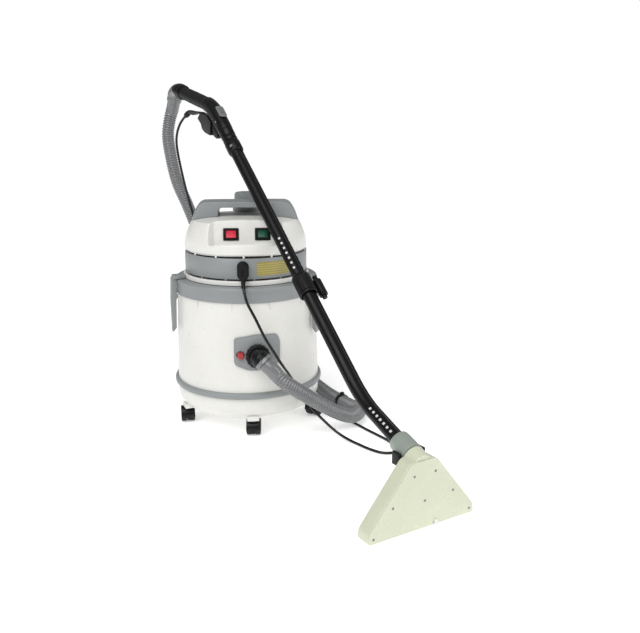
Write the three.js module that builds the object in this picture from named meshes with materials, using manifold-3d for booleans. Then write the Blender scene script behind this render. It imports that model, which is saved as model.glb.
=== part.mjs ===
// Spot extractor: a drum on casters, a motor head, a suction hose, a solution line and a floor wand.
// Millimetres, +Z up. Machine parts are laid out about the drum's axis, with the floor at Z = 0,
// and the finished object is moved so that its origin is the bottom centre of its outline.
import * as THREE from "three";
import { mergeVertices } from "three/addons/utils/BufferGeometryUtils.js";
import Module from "manifold-3d";

const wasm = await Module();
wasm.setup();

// ---- Driving dimensions ----------------------------------------------------------------------

const GAP = 0.3; // clearance between touching pieces
const ROUND = 40; // segments round the large turned parts

const DRUM_YAW = 8; // degrees, turns the drum's ring of casters
const HEAD_YAW = 4; // degrees, turns the motor head
const WAND_YAW = 32; // degrees, turns the floor wand's vertical plane

const DRUM_BOTTOM = 50;
const DRUM_BASE_R = 170;
const DRUM_LOW_R = 190;
const DRUM_LOW_Z = 122;
const DRUM_HIGH_R = 183.5;
const DRUM_HIGH_Z = 352;
const DRUM_TOP = 388;
const DRUM_WALL = 3.5;

const BUMPER_LOW = 105;
const BUMPER_OUT = 8;

const RIM_R = 187.5;
const RIM_BOTTOM = 353;
const RIM_TOP = 391;
const RIM_INNER_R = 150;

const LID_BOTTOM = 392;
const LID_TOP = 404;
const LID_R = 165;
const LID_FLOOR = 399;
const INTAKE_R = 16;

const BAND_R = 160;
const BAND_TOP = 460;
const HEAD_WALL = 3;

const CASTER_COUNT = 5;
const CASTER_CIRCLE_R = 176;
const CASTER_TRAIL = 14;
const WHEEL_R = 20;
const WHEEL_HALF = 18;
const WHEEL_AXLE_R = 4;
const BOSS_BOTTOM = 43.5;

const INLET_ANGLE = 12; // degrees from the front, seen from above
const INLET_Z = 222;
const INLET_HOLE_R = 24;

const HOSE_R = 19;
const LINE_R = 3.5;

const TOOL_WIDTH = 269;
const TOOL_HEIGHT = 146;
const TOOL_DEPTH = 40;
const TOOL_WALL = 4;
const TOOL_COVER = 3;
const TOOL_FOOT = [391.7, -630.9];

const COLLAR_TILT = 19.8; // degrees above the floor
const WAND_TILT = 40.62; // degrees above the floor
const WAND_FOOT = [264.8, 265.8]; // distance back from the tool and height, where the long run starts

// ---- Helpers ---------------------------------------------------------------------------------

const rad = THREE.MathUtils.degToRad;

// A turned solid about Z. The profile is a list of [radius, height], outer wall going up.
function lathe(profile, segments = ROUND) {
  const points = profile.map(([r, z]) => new THREE.Vector2(r, z));
  const [first] = points;
  const last = points[points.length - 1];
  if (first.x > 0 || last.x > 0) points.push(first.clone());
  return new THREE.LatheGeometry(points, segments).rotateX(Math.PI / 2);
}

// A cylinder along +Z, standing on Z = bottom.
function cylinder(radius, bottom, top, segments = 24) {
  const height = top - bottom;
  return new THREE.CylinderGeometry(radius, radius, height, segments)
    .rotateX(Math.PI / 2)
    .translate(0, 0, bottom + height / 2);
}

// A box between two corners.
function box(low, high) {
  const size = high.map((value, i) => value - low[i]);
  return new THREE.BoxGeometry(...size).translate(
    ...low.map((value, i) => value + size[i] / 2),
  );
}

function shapeOf(points) {
  return new THREE.Shape(points.map(([x, y]) => new THREE.Vector2(x, y)));
}

// A flat outline pulled up along +Z.
function prism(shape, bottom, top, curveSegments = 8) {
  return new THREE.ExtrudeGeometry(shape, {
    depth: top - bottom,
    bevelEnabled: false,
    curveSegments,
  }).translate(0, 0, bottom);
}

// A side outline in [Y, Z], as thick as twice half along X.
function sideProfile(points, half) {
  return prism(shapeOf(points), -half, half)
    .rotateX(Math.PI / 2)
    .rotateZ(Math.PI / 2);
}

// A section pulled along a curve.
function sweep(shape, curve, steps, curveSegments = 8) {
  return new THREE.ExtrudeGeometry(shape, {
    extrudePath: curve,
    steps,
    bevelEnabled: false,
    curveSegments,
  });
}

function circle(radius) {
  return new THREE.Shape().absarc(0, 0, radius, 0, 2 * Math.PI);
}

function ring(outer, inner) {
  const shape = circle(outer);
  shape.holes.push(new THREE.Path().absarc(0, 0, inner, 0, 2 * Math.PI, true));
  return shape;
}

function roundedRectangle(width, height, radius) {
  const x = width / 2;
  const y = height / 2;
  return new THREE.Shape()
    .moveTo(-x + radius, -y)
    .lineTo(x - radius, -y)
    .absarc(x - radius, -y + radius, radius, -Math.PI / 2, 0)
    .lineTo(x, y - radius)
    .absarc(x - radius, y - radius, radius, 0, Math.PI / 2)
    .lineTo(-x + radius, y)
    .absarc(-x + radius, y - radius, radius, Math.PI / 2, Math.PI)
    .lineTo(-x, -y + radius)
    .absarc(-x + radius, -y + radius, radius, Math.PI, 1.5 * Math.PI);
}

// Points the +Z axis of a geometry along -Y, which is outward at the front of the machine.
function facingFront(geometry) {
  return geometry.rotateX(Math.PI / 2);
}

// Turns a round shape about Z slowly into a rounded square between two heights.
function squared(geometry, low, high, power) {
  const position = geometry.attributes.position;
  for (let i = 0; i < position.count; i++) {
    const [x, y, z] = [position.getX(i), position.getY(i), position.getZ(i)];
    const radius = Math.hypot(x, y);
    if (radius < 1) continue;
    const share = THREE.MathUtils.clamp((z - low) / (high - low), 0, 1);
    const p = 2 + (power - 2) * share;
    const sum = (Math.abs(x) / radius) ** p + (Math.abs(y) / radius) ** p;
    const stretch = sum ** (-1 / p);
    position.setXY(i, x * stretch, y * stretch);
  }
  return geometry;
}

function toSolid(geometry) {
  const bare = geometry.clone();
  bare.deleteAttribute("normal");
  bare.deleteAttribute("uv");
  const merged = mergeVertices(bare, 1e-3);
  return new wasm.Manifold(
    new wasm.Mesh({
      numProp: 3,
      vertProperties: new Float32Array(merged.attributes.position.array),
      triVerts: new Uint32Array(merged.index.array),
    }),
  );
}

function toGeometry(solid) {
  const { vertProperties, triVerts } = solid.getMesh();
  const geometry = new THREE.BufferGeometry();
  geometry.setAttribute("position", new THREE.BufferAttribute(vertProperties, 3));
  geometry.setIndex(new THREE.BufferAttribute(triVerts, 1));
  const flat = geometry.toNonIndexed();
  flat.computeVertexNormals();
  return flat;
}

function fuse(...geometries) {
  return toGeometry(geometries.map(toSolid).reduce((sum, next) => sum.add(next)));
}

function cut(geometry, ...tools) {
  return toGeometry(
    tools.map(toSolid).reduce((rest, tool) => rest.subtract(tool), toSolid(geometry)),
  );
}

function common(geometry, tool) {
  return toGeometry(toSolid(geometry).intersect(toSolid(tool)));
}

const COLOURS = {
  white: [0xe9e6de, 0.35],
  grey: [0x8f9496, 0.45],
  darkGrey: [0x4a4c4e, 0.5],
  black: [0x151517, 0.4],
  silver: [0xa3a7aa, 0.4],
  cream: [0xe1e4cd, 0.35],
  greyGreen: [0xa5afa5, 0.4],
  yellow: [0x968740, 0.6],
  red: [0xc8283c, 0.25],
  green: [0x005032, 0.25],
};

function material(colour, metalness = 0) {
  const [color, roughness] = COLOURS[colour];
  return new THREE.MeshStandardMaterial({ color, roughness, metalness });
}

function piece(parent, name, geometry, colour, metalness) {
  const mesh = new THREE.Mesh(geometry, material(colour, metalness));
  mesh.name = name;
  parent.add(mesh);
  return mesh;
}

function turnedGroup(parent, yaw, position = [0, 0, 0]) {
  const group = new THREE.Group();
  group.rotation.z = rad(yaw);
  group.position.set(...position);
  parent.add(group);
  return group;
}

// A curve through points that never drops below its own radius above the floor.
class FloorCurve extends THREE.CatmullRomCurve3 {
  constructor(points, radius) {
    super(points.map((point) => new THREE.Vector3(...point)), false, "centripetal");
    this.lowest = radius;
  }

  getPoint(t, target) {
    const point = super.getPoint(t, target);
    point.z = Math.max(point.z, this.lowest);
    return point;
  }
}

// ---- Drum and base ---------------------------------------------------------------------------

// The drum's outside as [radius, height], with a constant offset outward.
function drumWallPoint(z, offset) {
  const share = (z - DRUM_LOW_Z) / (DRUM_HIGH_Z - DRUM_LOW_Z);
  return [DRUM_LOW_R + (DRUM_HIGH_R - DRUM_LOW_R) * share + offset, z];
}

function casterAngle(index) {
  return DRUM_YAW + (index * 360) / CASTER_COUNT;
}

// Where the caster's swivel axis stands. Angle 0 is the front, and angles run to the right.
function casterPlace(index) {
  const angle = rad(casterAngle(index));
  return [CASTER_CIRCLE_R * Math.sin(angle), -CASTER_CIRCLE_R * Math.cos(angle)];
}

function drum() {
  const floor = DRUM_BOTTOM + DRUM_WALL + 0.5;
  const shell = lathe([
    [0, DRUM_BOTTOM],
    [DRUM_BASE_R, DRUM_BOTTOM],
    [178, 54],
    [189.4, 76],
    [DRUM_LOW_R, DRUM_LOW_Z],
    [DRUM_HIGH_R, DRUM_HIGH_Z],
    [DRUM_HIGH_R, DRUM_TOP],
    [DRUM_HIGH_R - DRUM_WALL, DRUM_TOP],
    [DRUM_HIGH_R - DRUM_WALL, DRUM_HIGH_Z],
    [DRUM_LOW_R - DRUM_WALL, DRUM_LOW_Z],
    [185.9, 78],
    [175, 58],
    [DRUM_BASE_R - DRUM_WALL, floor],
    [0, floor],
  ]);
  const bosses = [];
  const stemHoles = [];
  for (let i = 0; i < CASTER_COUNT; i++) {
    const [x, y] = casterPlace(i);
    bosses.push(
      box([-15.5, -10, BOSS_BOTTOM], [15.5, 14, 56])
        .rotateZ(rad(casterAngle(i)))
        .translate(x, y, 0),
    );
    stemHoles.push(cylinder(5.2, BOSS_BOTTOM - 1, 52.3, 16).translate(x, y, 0));
  }
  const inletHole = facingFront(cylinder(INLET_HOLE_R, 150, 200))
    .translate(0, 0, INLET_Z)
    .rotateZ(rad(INLET_ANGLE));
  const buttonHole = facingFront(cylinder(9.8, 150, 200))
    .translate(...BUTTON_PLACE)
    .rotateZ(rad(INLET_ANGLE));
  return cut(fuse(shell, ...bosses), inletHole, buttonHole, ...stemHoles);
}

function bumperBand() {
  const r = DRUM_LOW_R + GAP;
  const z = BUMPER_LOW;
  return lathe([
    [r, z],
    [r + 0.7 * BUMPER_OUT, z + 2.5],
    [r + BUMPER_OUT, z + 8.5],
    [r + 0.7 * BUMPER_OUT, z + 14.5],
    [r, z + 17],
  ]);
}

function rimRing() {
  return lathe([
    [DRUM_HIGH_R + GAP, RIM_BOTTOM],
    [RIM_R, RIM_BOTTOM],
    [RIM_R, RIM_TOP - 3],
    [RIM_R - 3, RIM_TOP],
    [RIM_INNER_R, RIM_TOP],
    [RIM_INNER_R, DRUM_TOP + GAP],
    [DRUM_HIGH_R + GAP, DRUM_TOP + GAP],
  ]);
}

// One caster's hood, with its swivel axis on Z and its wheels behind it on -Y.
function casterHood() {
  const axleZ = WHEEL_R;
  const cover = new THREE.Shape()
    .absarc(0, 0, 22.6, rad(-8), rad(175))
    .absarc(0, 0, 20.8, rad(175), rad(-8), true);
  const shell = prism(cover, -WHEEL_HALF, WHEEL_HALF, 6)
    .rotateX(Math.PI / 2)
    .rotateZ(Math.PI / 2)
    .translate(0, -CASTER_TRAIL, axleZ);
  const web = prism(circle(21.6), -3.6, 3.6, 6)
    .rotateX(Math.PI / 2)
    .rotateZ(Math.PI / 2)
    .translate(0, -CASTER_TRAIL, axleZ);
  const neck = cylinder(8, 30, BOSS_BOTTOM - GAP, 16);
  const stem = cylinder(4.9, 39, 52, 12);
  const axleHole = cylinder(WHEEL_AXLE_R + 0.4, -6, 6, 16)
    .rotateY(Math.PI / 2)
    .translate(0, -CASTER_TRAIL, axleZ);
  const wheelRoom = (side) =>
    cylinder(20.8, 0, WHEEL_HALF, 20)
      .rotateY(Math.PI / 2)
      .translate(side > 0 ? 3.6 : -3.6 - WHEEL_HALF, -CASTER_TRAIL, axleZ);
  const raisedNeck = cut(neck, wheelRoom(1), wheelRoom(-1));
  const lowWeb = common(web, box([-9, -60, 6], [9, 60, 60]));
  return cut(fuse(shell, lowWeb, raisedNeck, stem), axleHole);
}

// One caster's pair of wheels on their axle, along X.
function casterWheels() {
  const inner = 4.2;
  return lathe(
    [
      [0, -WHEEL_HALF],
      [WHEEL_R - 2, -WHEEL_HALF],
      [WHEEL_R, -WHEEL_HALF + 2],
      [WHEEL_R, -inner],
      [WHEEL_AXLE_R, -inner],
      [WHEEL_AXLE_R, inner],
      [WHEEL_R, inner],
      [WHEEL_R, WHEEL_HALF - 2],
      [WHEEL_R - 2, WHEEL_HALF],
      [0, WHEEL_HALF],
    ],
    16,
  )
    .rotateZ(Math.PI / 2)
    .rotateY(Math.PI / 2)
    .translate(0, -CASTER_TRAIL, WHEEL_R);
}

function casters(parent) {
  const trailYaws = [180, 150, 100, 245, 192];
  trailYaws.forEach((yaw, i) => {
    const [x, y] = casterPlace(i);
    const caster = turnedGroup(parent, yaw, [x, y, 0]);
    piece(caster, `caster_hood_${i + 1}`, casterHood(), "black");
    piece(caster, `caster_wheels_${i + 1}`, casterWheels(), "black");
  });
}

// ---- Inlet -----------------------------------------------------------------------------------

const PLATE_OUTLINE = [
  [-58, -30],
  [-22, -45],
  [18, -46],
  [58, -30],
  [60, 26],
  [52, 46],
  [0, 48],
  [-57, 39],
];
const PLATE_Z = 227;
const PLATE_GAP = 1; // clears the drum's flats, which the plate's flats don't line up with
const BUTTON_PLACE = [-42, 0, 223];
const CUFF_START = 197.5; // distance of the cuff's back face from the drum's axis
const CUFF_LIP = 212;

function inletPlate() {
  const outline = facingFront(prism(shapeOf(PLATE_OUTLINE), 150, 210)).translate(0, 0, PLATE_Z);
  const layer = lathe([
    drumWallPoint(DRUM_LOW_Z + 10, PLATE_GAP),
    drumWallPoint(DRUM_LOW_Z + 10, 7),
    drumWallPoint(DRUM_HIGH_Z - 10, 7),
    drumWallPoint(DRUM_HIGH_Z - 10, PLATE_GAP),
  ]);
  const socketHole = facingFront(cylinder(22.4, 150, 220)).translate(0, 0, INLET_Z);
  const buttonHole = facingFront(cylinder(9.8, 150, 220)).translate(...BUTTON_PLACE);
  return cut(common(layer, outline), socketHole, buttonHole);
}

function inletSocket() {
  return facingFront(
    lathe(
      [
        [18, 164],
        [22, 164],
        [22, CUFF_START - GAP],
        [18, CUFF_START - GAP],
      ],
      24,
    ),
  ).translate(0, 0, INLET_Z);
}

// Where the hose leaves the cuff's elbow and its direction there, in the machine's own axes.
const HOSE_START = [62, -227, 213];
const HOSE_LEAVES = new THREE.Vector3(19, -7, -17).normalize();

// The nut that turns to lock the hose into the socket.
function cuffNut() {
  return facingFront(
    lathe(
      [
        [24.2, CUFF_START],
        [29.5, CUFF_START],
        [30.5, CUFF_START + 2],
        [30, CUFF_LIP - 2],
        [28, CUFF_LIP],
        [24.2, CUFF_LIP],
      ],
      24,
    ),
  ).translate(0, 0, INLET_Z);
}

// The hose's rigid end, which passes through the nut and turns down to the right.
function hoseElbow() {
  const back = new THREE.Matrix4().makeRotationZ(-rad(INLET_ANGLE));
  const end = new THREE.Vector3(...HOSE_START).applyMatrix4(back);
  const leaves = HOSE_LEAVES.clone().transformDirection(back);
  const straight = new THREE.Vector3(0, -CUFF_LIP, INLET_Z);
  const path = new THREE.CurvePath();
  path.add(new THREE.LineCurve3(new THREE.Vector3(0, -CUFF_START, INLET_Z), straight));
  path.add(
    new THREE.CubicBezierCurve3(
      straight,
      new THREE.Vector3(0, -CUFF_LIP - 11, INLET_Z),
      end.clone().addScaledVector(leaves, -11),
      end,
    ),
  );
  return sweep(ring(23.5, 18), path, 7, 10);
}

function inlet(parent) {
  const group = turnedGroup(parent, INLET_ANGLE);
  piece(group, "inlet_plate", inletPlate(), "grey");
  piece(group, "inlet_socket", inletSocket(), "black");
  piece(group, "cuff_nut", cuffNut(), "black");
  piece(group, "hose_elbow", hoseElbow(), "black");
  const button = facingFront(
    lathe(
      [
        [0, 178],
        [9.3, 178],
        [9.3, 197],
        [7.5, 199.5],
        [0, 200],
      ],
      20,
    ),
  ).translate(...BUTTON_PLACE);
  piece(group, "inlet_button", button, "red");
}

// ---- Latches ---------------------------------------------------------------------------------

const LATCH_PIVOT_R = 193;
const LATCH_PIVOT_Z = 397;

// The latch's fixed arm, reaching from the lid over the rim. Outward is -Y here.
function latchMount() {
  const arm = box([-14, -198, LID_BOTTOM + GAP], [14, -LID_R - GAP, LID_TOP - 2]);
  const leverRoom = box([-9.4, -220, 380], [9.4, -189, 420]);
  const eye = cylinder(2.4, -20, 20, 12)
    .rotateY(Math.PI / 2)
    .translate(0, -LATCH_PIVOT_R, LATCH_PIVOT_Z);
  return cut(arm, leverRoom, eye);
}

// The lever hangs outside the rim and hooks under it.
function latchLever() {
  const arm = sideProfile(
    [
      [-189.6, 397],
      [-189.6, 352],
      [-185.2, 350],
      [-185.2, 345],
      [-191, 338],
      [-193.5, 262],
      [-204, 250],
      [-204.5, 340],
      [-202, 394],
      [-197, 399.5],
      [-193, 400.5],
      [-190.6, 399.5],
    ],
    9,
  );
  const pin = cylinder(2, -13.5, 13.5, 12)
    .rotateY(Math.PI / 2)
    .translate(0, -LATCH_PIVOT_R, LATCH_PIVOT_Z);
  return fuse(arm, pin);
}

function latches(parent) {
  for (const [side, yaw] of [
    ["left", -70],
    ["right", 68],
  ]) {
    const group = turnedGroup(parent, yaw);
    piece(group, `latch_mount_${side}`, latchMount(), "grey");
    piece(group, `latch_lever_${side}`, latchLever(), "grey");
  }
}

// ---- Motor head ------------------------------------------------------------------------------

const PICKUP = [-105, 60];
const CAP_SQUARE_TOP = 543; // height at which the cap's plan is fully a rounded square
const CAP_POWER = 2.5;
const PANEL_TILT = 13; // degrees, the switch panel leans back
const PANEL_PLACE = [5, -109, 524];
const PANEL_HALF = 81;
const SWITCHES = [
  ["vacuum", -39, "red"],
  ["pump", 40, "green"],
];
const SWITCH_Z = -10.5;
const BEZEL_WIDTH = 39;
const BEZEL_HEIGHT = 31;
const ROCKER_TILT = 10; // degrees

const CAP_OUTSIDE = [
  [156.5, BAND_TOP + GAP],
  [156.5, 466.5],
  [160, 467.5],
  [159, 485],
  [154.5, 504],
  [146.5, 524],
  [138.5, 538],
  [131, 543.5],
  [80, 550],
  [0, 551],
];
const CAP_INSIDE = [
  [0, 548],
  [80, 547],
  [130, 540.5],
  [136, 536.5],
  [143.7, 523],
  [151.5, 503],
  [156, 484],
  [156.8, 470.5],
  [153, 467],
  [153, BAND_TOP + GAP],
];

function headLid() {
  const plate = lathe([
    [INTAKE_R, LID_BOTTOM],
    [LID_R, LID_BOTTOM],
    [LID_R, LID_TOP],
    [156, LID_TOP],
    [156, LID_FLOOR],
    [INTAKE_R, LID_FLOOR],
  ]);
  return cut(plate, cylinder(7, 380, 410, 16).translate(...PICKUP, 0));
}

function headBand() {
  const wall = lathe([
    [BAND_R - HEAD_WALL, LID_TOP + GAP],
    [BAND_R, LID_TOP + GAP],
    [BAND_R, BAND_TOP],
    [BAND_R - HEAD_WALL, BAND_TOP],
  ]);
  const glandHole = facingFront(cylinder(8, 140, 175, 16))
    .translate(0, 0, GLAND_Z)
    .rotateZ(rad(GLAND_ANGLE));
  return cut(wall, glandHole);
}

// Moves a geometry from the switch panel's own frame (outward -Y, up Z) into the head's.
function onPanel(geometry) {
  return geometry.rotateX(rad(-PANEL_TILT)).translate(...PANEL_PLACE);
}

function capShape(profile) {
  return squared(lathe(profile), BAND_TOP, CAP_SQUARE_TOP, CAP_POWER);
}

function headCap() {
  const shell = capShape([...CAP_INSIDE, ...CAP_OUTSIDE]);
  const filled = capShape([[0, BAND_TOP + GAP], ...CAP_OUTSIDE]);
  const backing = onPanel(box([-120, -60, -43], [120, 3, 60]));
  const trapezoid = shapeOf([
    [-PANEL_HALF, 0],
    [PANEL_HALF, 0],
    [PANEL_HALF + 54, -60],
    [-PANEL_HALF - 54, -60],
  ]);
  const recess = onPanel(prism(trapezoid, -40, 60));
  const holes = SWITCHES.map(([, x]) =>
    onPanel(box([x - 16.3, -5, SWITCH_Z - 12.8], [x + 16.3, 14, SWITCH_Z + 12.8])),
  );
  return cut(fuse(shell, common(filled, backing)), recess, ...holes);
}

function carryHandle() {
  const saddle = capShape([
    [0, 551.4],
    [80, 550.4],
    [131.2, 543.9],
    [138.9, 538.4],
    [131, 561],
    [121, 578],
    [111, 586],
    [0, 588],
  ]);
  const across = box([-140, -50, 530], [140, 30, 600]);
  const opening = roundedRectangle(116, 42, 12);
  const fingerGap = facingFront(prism(opening, -60, 60)).translate(-10, 0, 552);
  return cut(common(saddle, across), fingerGap);
}

function fillerCap() {
  return lathe(
    [
      [0, 551.6],
      [37, 551.6],
      [37, 566],
      [33, 570],
      [31.5, 596],
      [27, 601],
      [0, 602.5],
    ],
    28,
  ).translate(2, 78, 0);
}

// A switch's black frame, whose flange lies on the panel.
function switchBezel(x) {
  const flange = facingFront(prism(roundedRectangle(BEZEL_WIDTH, BEZEL_HEIGHT, 2.5), GAP, 2.6));
  const body = box([-16, -GAP - 1, -12.5], [16, 10, 12.5]);
  const well = box([-13.2, -12, -10.2], [13.2, 8, 10.2]);
  return onPanel(cut(fuse(flange, body), well).translate(x, 0, SWITCH_Z));
}

// A rocker, tipped to its off side about a pivot just inside the panel.
function rocker(x) {
  const half = 9.4;
  const body = sideProfile(
    [
      [4.5, -6],
      [4.5, 6],
      [-1, half],
      [-3.6, half],
      [-2.6, 0],
      [-3.6, -half],
      [-1, -half],
    ],
    12.6,
  );
  return onPanel(body.rotateX(rad(-ROCKER_TILT)).translate(x, 1, SWITCH_Z));
}

const ELBOW_X = -5;
const ELBOW_LOW = 408;
const ELBOW_HIGH = 455;

function lineElbow() {
  const width = 29;
  const height = ELBOW_HIGH - ELBOW_LOW;
  const foot = facingFront(prism(roundedRectangle(width, height, 14), 160.5, 172, 5));
  const hump = facingFront(prism(roundedRectangle(20, height - 8, 9), 170, 181, 5));
  return fuse(foot, hump).translate(ELBOW_X, 0, (ELBOW_LOW + ELBOW_HIGH) / 2);
}

const LABEL_FROM = 10;
const LABEL_TO = 43;

function labelPlate() {
  const layer = lathe([
    [BAND_R + GAP, 416],
    [BAND_R + 1.2, 416],
    [BAND_R + 1.2, 451],
    [BAND_R + GAP, 451],
  ]);
  const reach = 200;
  const corners = [LABEL_FROM, (LABEL_FROM + LABEL_TO) / 2, LABEL_TO].map((angle) => [
    reach * Math.sin(rad(angle)),
    -reach * Math.cos(rad(angle)),
  ]);
  return common(layer, prism(shapeOf([[0, 0], ...corners]), 400, 470));
}

const GLAND_ANGLE = 205;
const GLAND_Z = 430;

function mainsGland() {
  return facingFront(
    lathe(
      [
        [3.5, 150],
        [7.6, 150],
        [7.6, BAND_R + GAP],
        [12, BAND_R + GAP],
        [12, BAND_R + 7],
        [9, BAND_R + 8],
        [6, BAND_R + 18],
        [3.5, BAND_R + 18],
      ],
      16,
    ),
  )
    .translate(0, 0, GLAND_Z)
    .rotateZ(rad(GLAND_ANGLE));
}

function headShells(head) {
  piece(head, "head_lid", headLid(), "white");
  piece(head, "head_band", headBand(), "grey");
  piece(head, "head_cap", headCap(), "white");
  piece(head, "carry_handle", carryHandle(), "grey");
  piece(head, "filler_cap", fillerCap(), "grey");
  for (const [use, x, colour] of SWITCHES) {
    piece(head, `switch_bezel_${use}`, switchBezel(x), "black");
    piece(head, `switch_rocker_${use}`, rocker(x), colour);
  }
  piece(head, "line_elbow", lineElbow(), "black");
  piece(head, "label_panel", labelPlate(), "yellow");
  piece(head, "mains_gland", mainsGland(), "black");
}

// ---- Inside ----------------------------------------------------------------------------------

const CAGE_R = 45;
const CAGE_BOTTOM = 310;
const FLOAT_R = 22;
const TANK_R = 150;
const TANK_BOTTOM = 56;
const TANK_TOP = 290;

function impeller() {
  return lathe(
    [
      [0, 405],
      [57, 405],
      [57, 407],
      [30, 409],
      [30, 417],
      [12, 420],
      [0, 420],
    ],
    28,
  );
}

// The motor with its fan shell pressed on below: one bought-in unit.
function vacuumMotor() {
  const foot = LID_FLOOR + GAP;
  return lathe(
    [
      [0, 420.4],
      [5, 420.4],
      [5, 425],
      [61, 425],
      [61, foot + 3],
      [46, foot + 3],
      [46, foot],
      [64, foot],
      [64, 428],
      [50, 428],
      [50, 470],
      [41, 475],
      [41, 506],
      [18, 512],
      [0, 512],
    ],
    28,
  );
}

function solutionPump() {
  const base = box([-26, -34, 0], [26, 34, 26]);
  const barrel = cylinder(20, -45, 30, 20).rotateX(Math.PI / 2).translate(0, 0, 26);
  return fuse(base, barrel).translate(PICKUP[0] - 2, PICKUP[1] - 42, LID_FLOOR + GAP);
}

function pickupTube() {
  return lathe(
    [
      [3.5, 80],
      [12, 80],
      [12, 100],
      [6, 106],
      [6, LID_FLOOR],
      [3.5, LID_FLOOR],
    ],
    14,
  ).translate(...PICKUP, 0);
}

function solutionTank() {
  const half = (radius, edge) => {
    const start = Math.asin(edge / radius);
    return new THREE.Shape().absarc(0, 0, radius, start, Math.PI - start);
  };
  return cut(
    prism(half(TANK_R, 0.5), TANK_BOTTOM, TANK_TOP, 20),
    prism(half(TANK_R - 3, 3.5), TANK_BOTTOM + 3, TANK_TOP + 1, 20),
  );
}

function floatCage() {
  const top = LID_BOTTOM - GAP;
  const cup = lathe(
    [
      [0, CAGE_BOTTOM],
      [CAGE_R, CAGE_BOTTOM],
      [CAGE_R, top],
      [CAGE_R - 3, top],
      [CAGE_R - 3, CAGE_BOTTOM + 3],
      [0, CAGE_BOTTOM + 3],
    ],
    24,
  );
  const slots = [0, 60, 120].map((angle) =>
    box([-60, -7, CAGE_BOTTOM + 14], [60, 7, top - 14]).rotateZ(rad(angle)),
  );
  return cut(cup, ...slots);
}

// The inside hangs from the head, but the tank stands in the drum.
function inside(parent, base) {
  piece(parent, "impeller", impeller(), "silver", 0.8);
  piece(parent, "vacuum_motor", vacuumMotor(), "silver", 0.7);
  piece(parent, "solution_pump", solutionPump(), "black");
  piece(parent, "pickup_tube", pickupTube(), "white");
  piece(base, "solution_tank", solutionTank(), "white");
  piece(parent, "float_cage", floatCage(), "white");
  const ball = new THREE.SphereGeometry(FLOAT_R, 20, 12)
    .rotateX(Math.PI / 2)
    .translate(0, 0, CAGE_BOTTOM + 3 + GAP + FLOAT_R);
  piece(parent, "float_ball", ball, "red");
}

// ---- Wand ------------------------------------------------------------------------------------
// In the wand's frame the tool's mouth lies along X, and Y runs back towards the machine.

// A point on the long straight run, measured along it from its foot.
function onRun(along, rise = 0) {
  const angle = rad(WAND_TILT);
  return [
    WAND_FOOT[0] + along * Math.cos(angle) - rise * Math.sin(angle),
    WAND_FOOT[1] + along * Math.sin(angle) + rise * Math.cos(angle),
  ];
}

function sidePoint([y, z]) {
  return new THREE.Vector3(0, y, z);
}

// Places a geometry made about +Z so that its axis runs along the long straight run.
function alongRun(geometry, along, offset = [0, 0]) {
  const [y, z] = onRun(along, offset[1]);
  return geometry.rotateX(-rad(90 - WAND_TILT)).translate(offset[0], y, z);
}

// The tube's section: a main bore and, on its right, the narrower duct of the solution pipe.
function tubeSection() {
  const main = 14.5;
  const duct = 8.5;
  const spread = 12.5;
  const along = (spread ** 2 + main ** 2 - duct ** 2) / (2 * spread);
  const half = Math.sqrt(main ** 2 - along ** 2);
  const mainAngle = Math.atan2(half, -along);
  const ductAngle = Math.atan2(half, spread - along);
  const shift = 2.5;
  return new THREE.Shape()
    .absarc(shift, 0, main, -mainAngle, mainAngle)
    .absarc(shift - spread, 0, duct, ductAngle, 2 * Math.PI - ductAngle);
}

const COUPLING_AT = 236; // distance along the run where the two tubes meet
const SLEEVE_AT = 675;
const HANDLE_AT = 757;
const HANDLE_CORNER = [917, 824];
const GRIP_START = [951, 831];
const GRIP_END = [1112, 863.5];

function toolOutline(inset, drop) {
  const foot = TOOL_WIDTH / 2 - inset;
  const neck = 31 - inset;
  const top = TOOL_HEIGHT - inset;
  const corner = 12;
  if (drop > 0) {
    return shapeOf([
      [-foot - 4, -drop],
      [foot + 4, -drop],
      [neck, top],
      [-neck, top],
    ]);
  }
  return shapeOf([
    [-foot + corner, 0],
    [foot - corner, 0],
    [foot - 3, 3.5],
    [foot, corner],
    [foot - 2.5, corner + 8],
    [neck + 3, top - 6],
    [neck - 3, top],
    [-neck + 3, top],
    [-neck - 3, top - 6],
    [-foot + 2.5, corner + 8],
    [-foot, corner],
    [-foot + 3, 3.5],
  ]);
}

const COLLAR_START = [11.6, 139.9];
const COLLAR_FROM = 10;

// Places a geometry made about +Z along the collar's axis.
function alongCollar(geometry, distance) {
  const angle = rad(COLLAR_TILT);
  return geometry
    .rotateX(-rad(90 - COLLAR_TILT))
    .translate(
      0,
      COLLAR_START[0] + distance * Math.cos(angle),
      COLLAR_START[1] + distance * Math.sin(angle),
    );
}

function toolBody() {
  const front = -TOOL_DEPTH / 2 + TOOL_COVER + GAP;
  const back = TOOL_DEPTH / 2;
  const slab = facingFront(prism(toolOutline(0, 0), -back, -front));
  const hollow = facingFront(prism(toolOutline(TOOL_WALL, 5), -back + TOOL_WALL, -front + 1));
  const neck = common(
    alongCollar(cylinder(24, -40, COLLAR_FROM - GAP, 24), 0),
    box([-40, front, 100], [40, 60, 200]),
  );
  const bore = alongCollar(cylinder(16, -22, 30, 20), 0);
  return cut(fuse(slab, neck), hollow, bore);
}

function toolCover() {
  const outer = TOOL_DEPTH / 2;
  return facingFront(prism(toolOutline(0, 0), outer - TOOL_COVER, outer));
}

// The collar's foot is cut to fit round the top and back of the tool.
function toolCollar() {
  const sleeve = lathe(
    [
      [19.4, COLLAR_FROM],
      [25, COLLAR_FROM],
      [23.8, 54],
      [22.6, 58],
      [19.4, 58],
    ],
    24,
  );
  const shoulder = box([-40, -40, 90], [40, TOOL_DEPTH / 2 + GAP, TOOL_HEIGHT + GAP]);
  return cut(alongCollar(sleeve, 0), shoulder);
}

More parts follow.
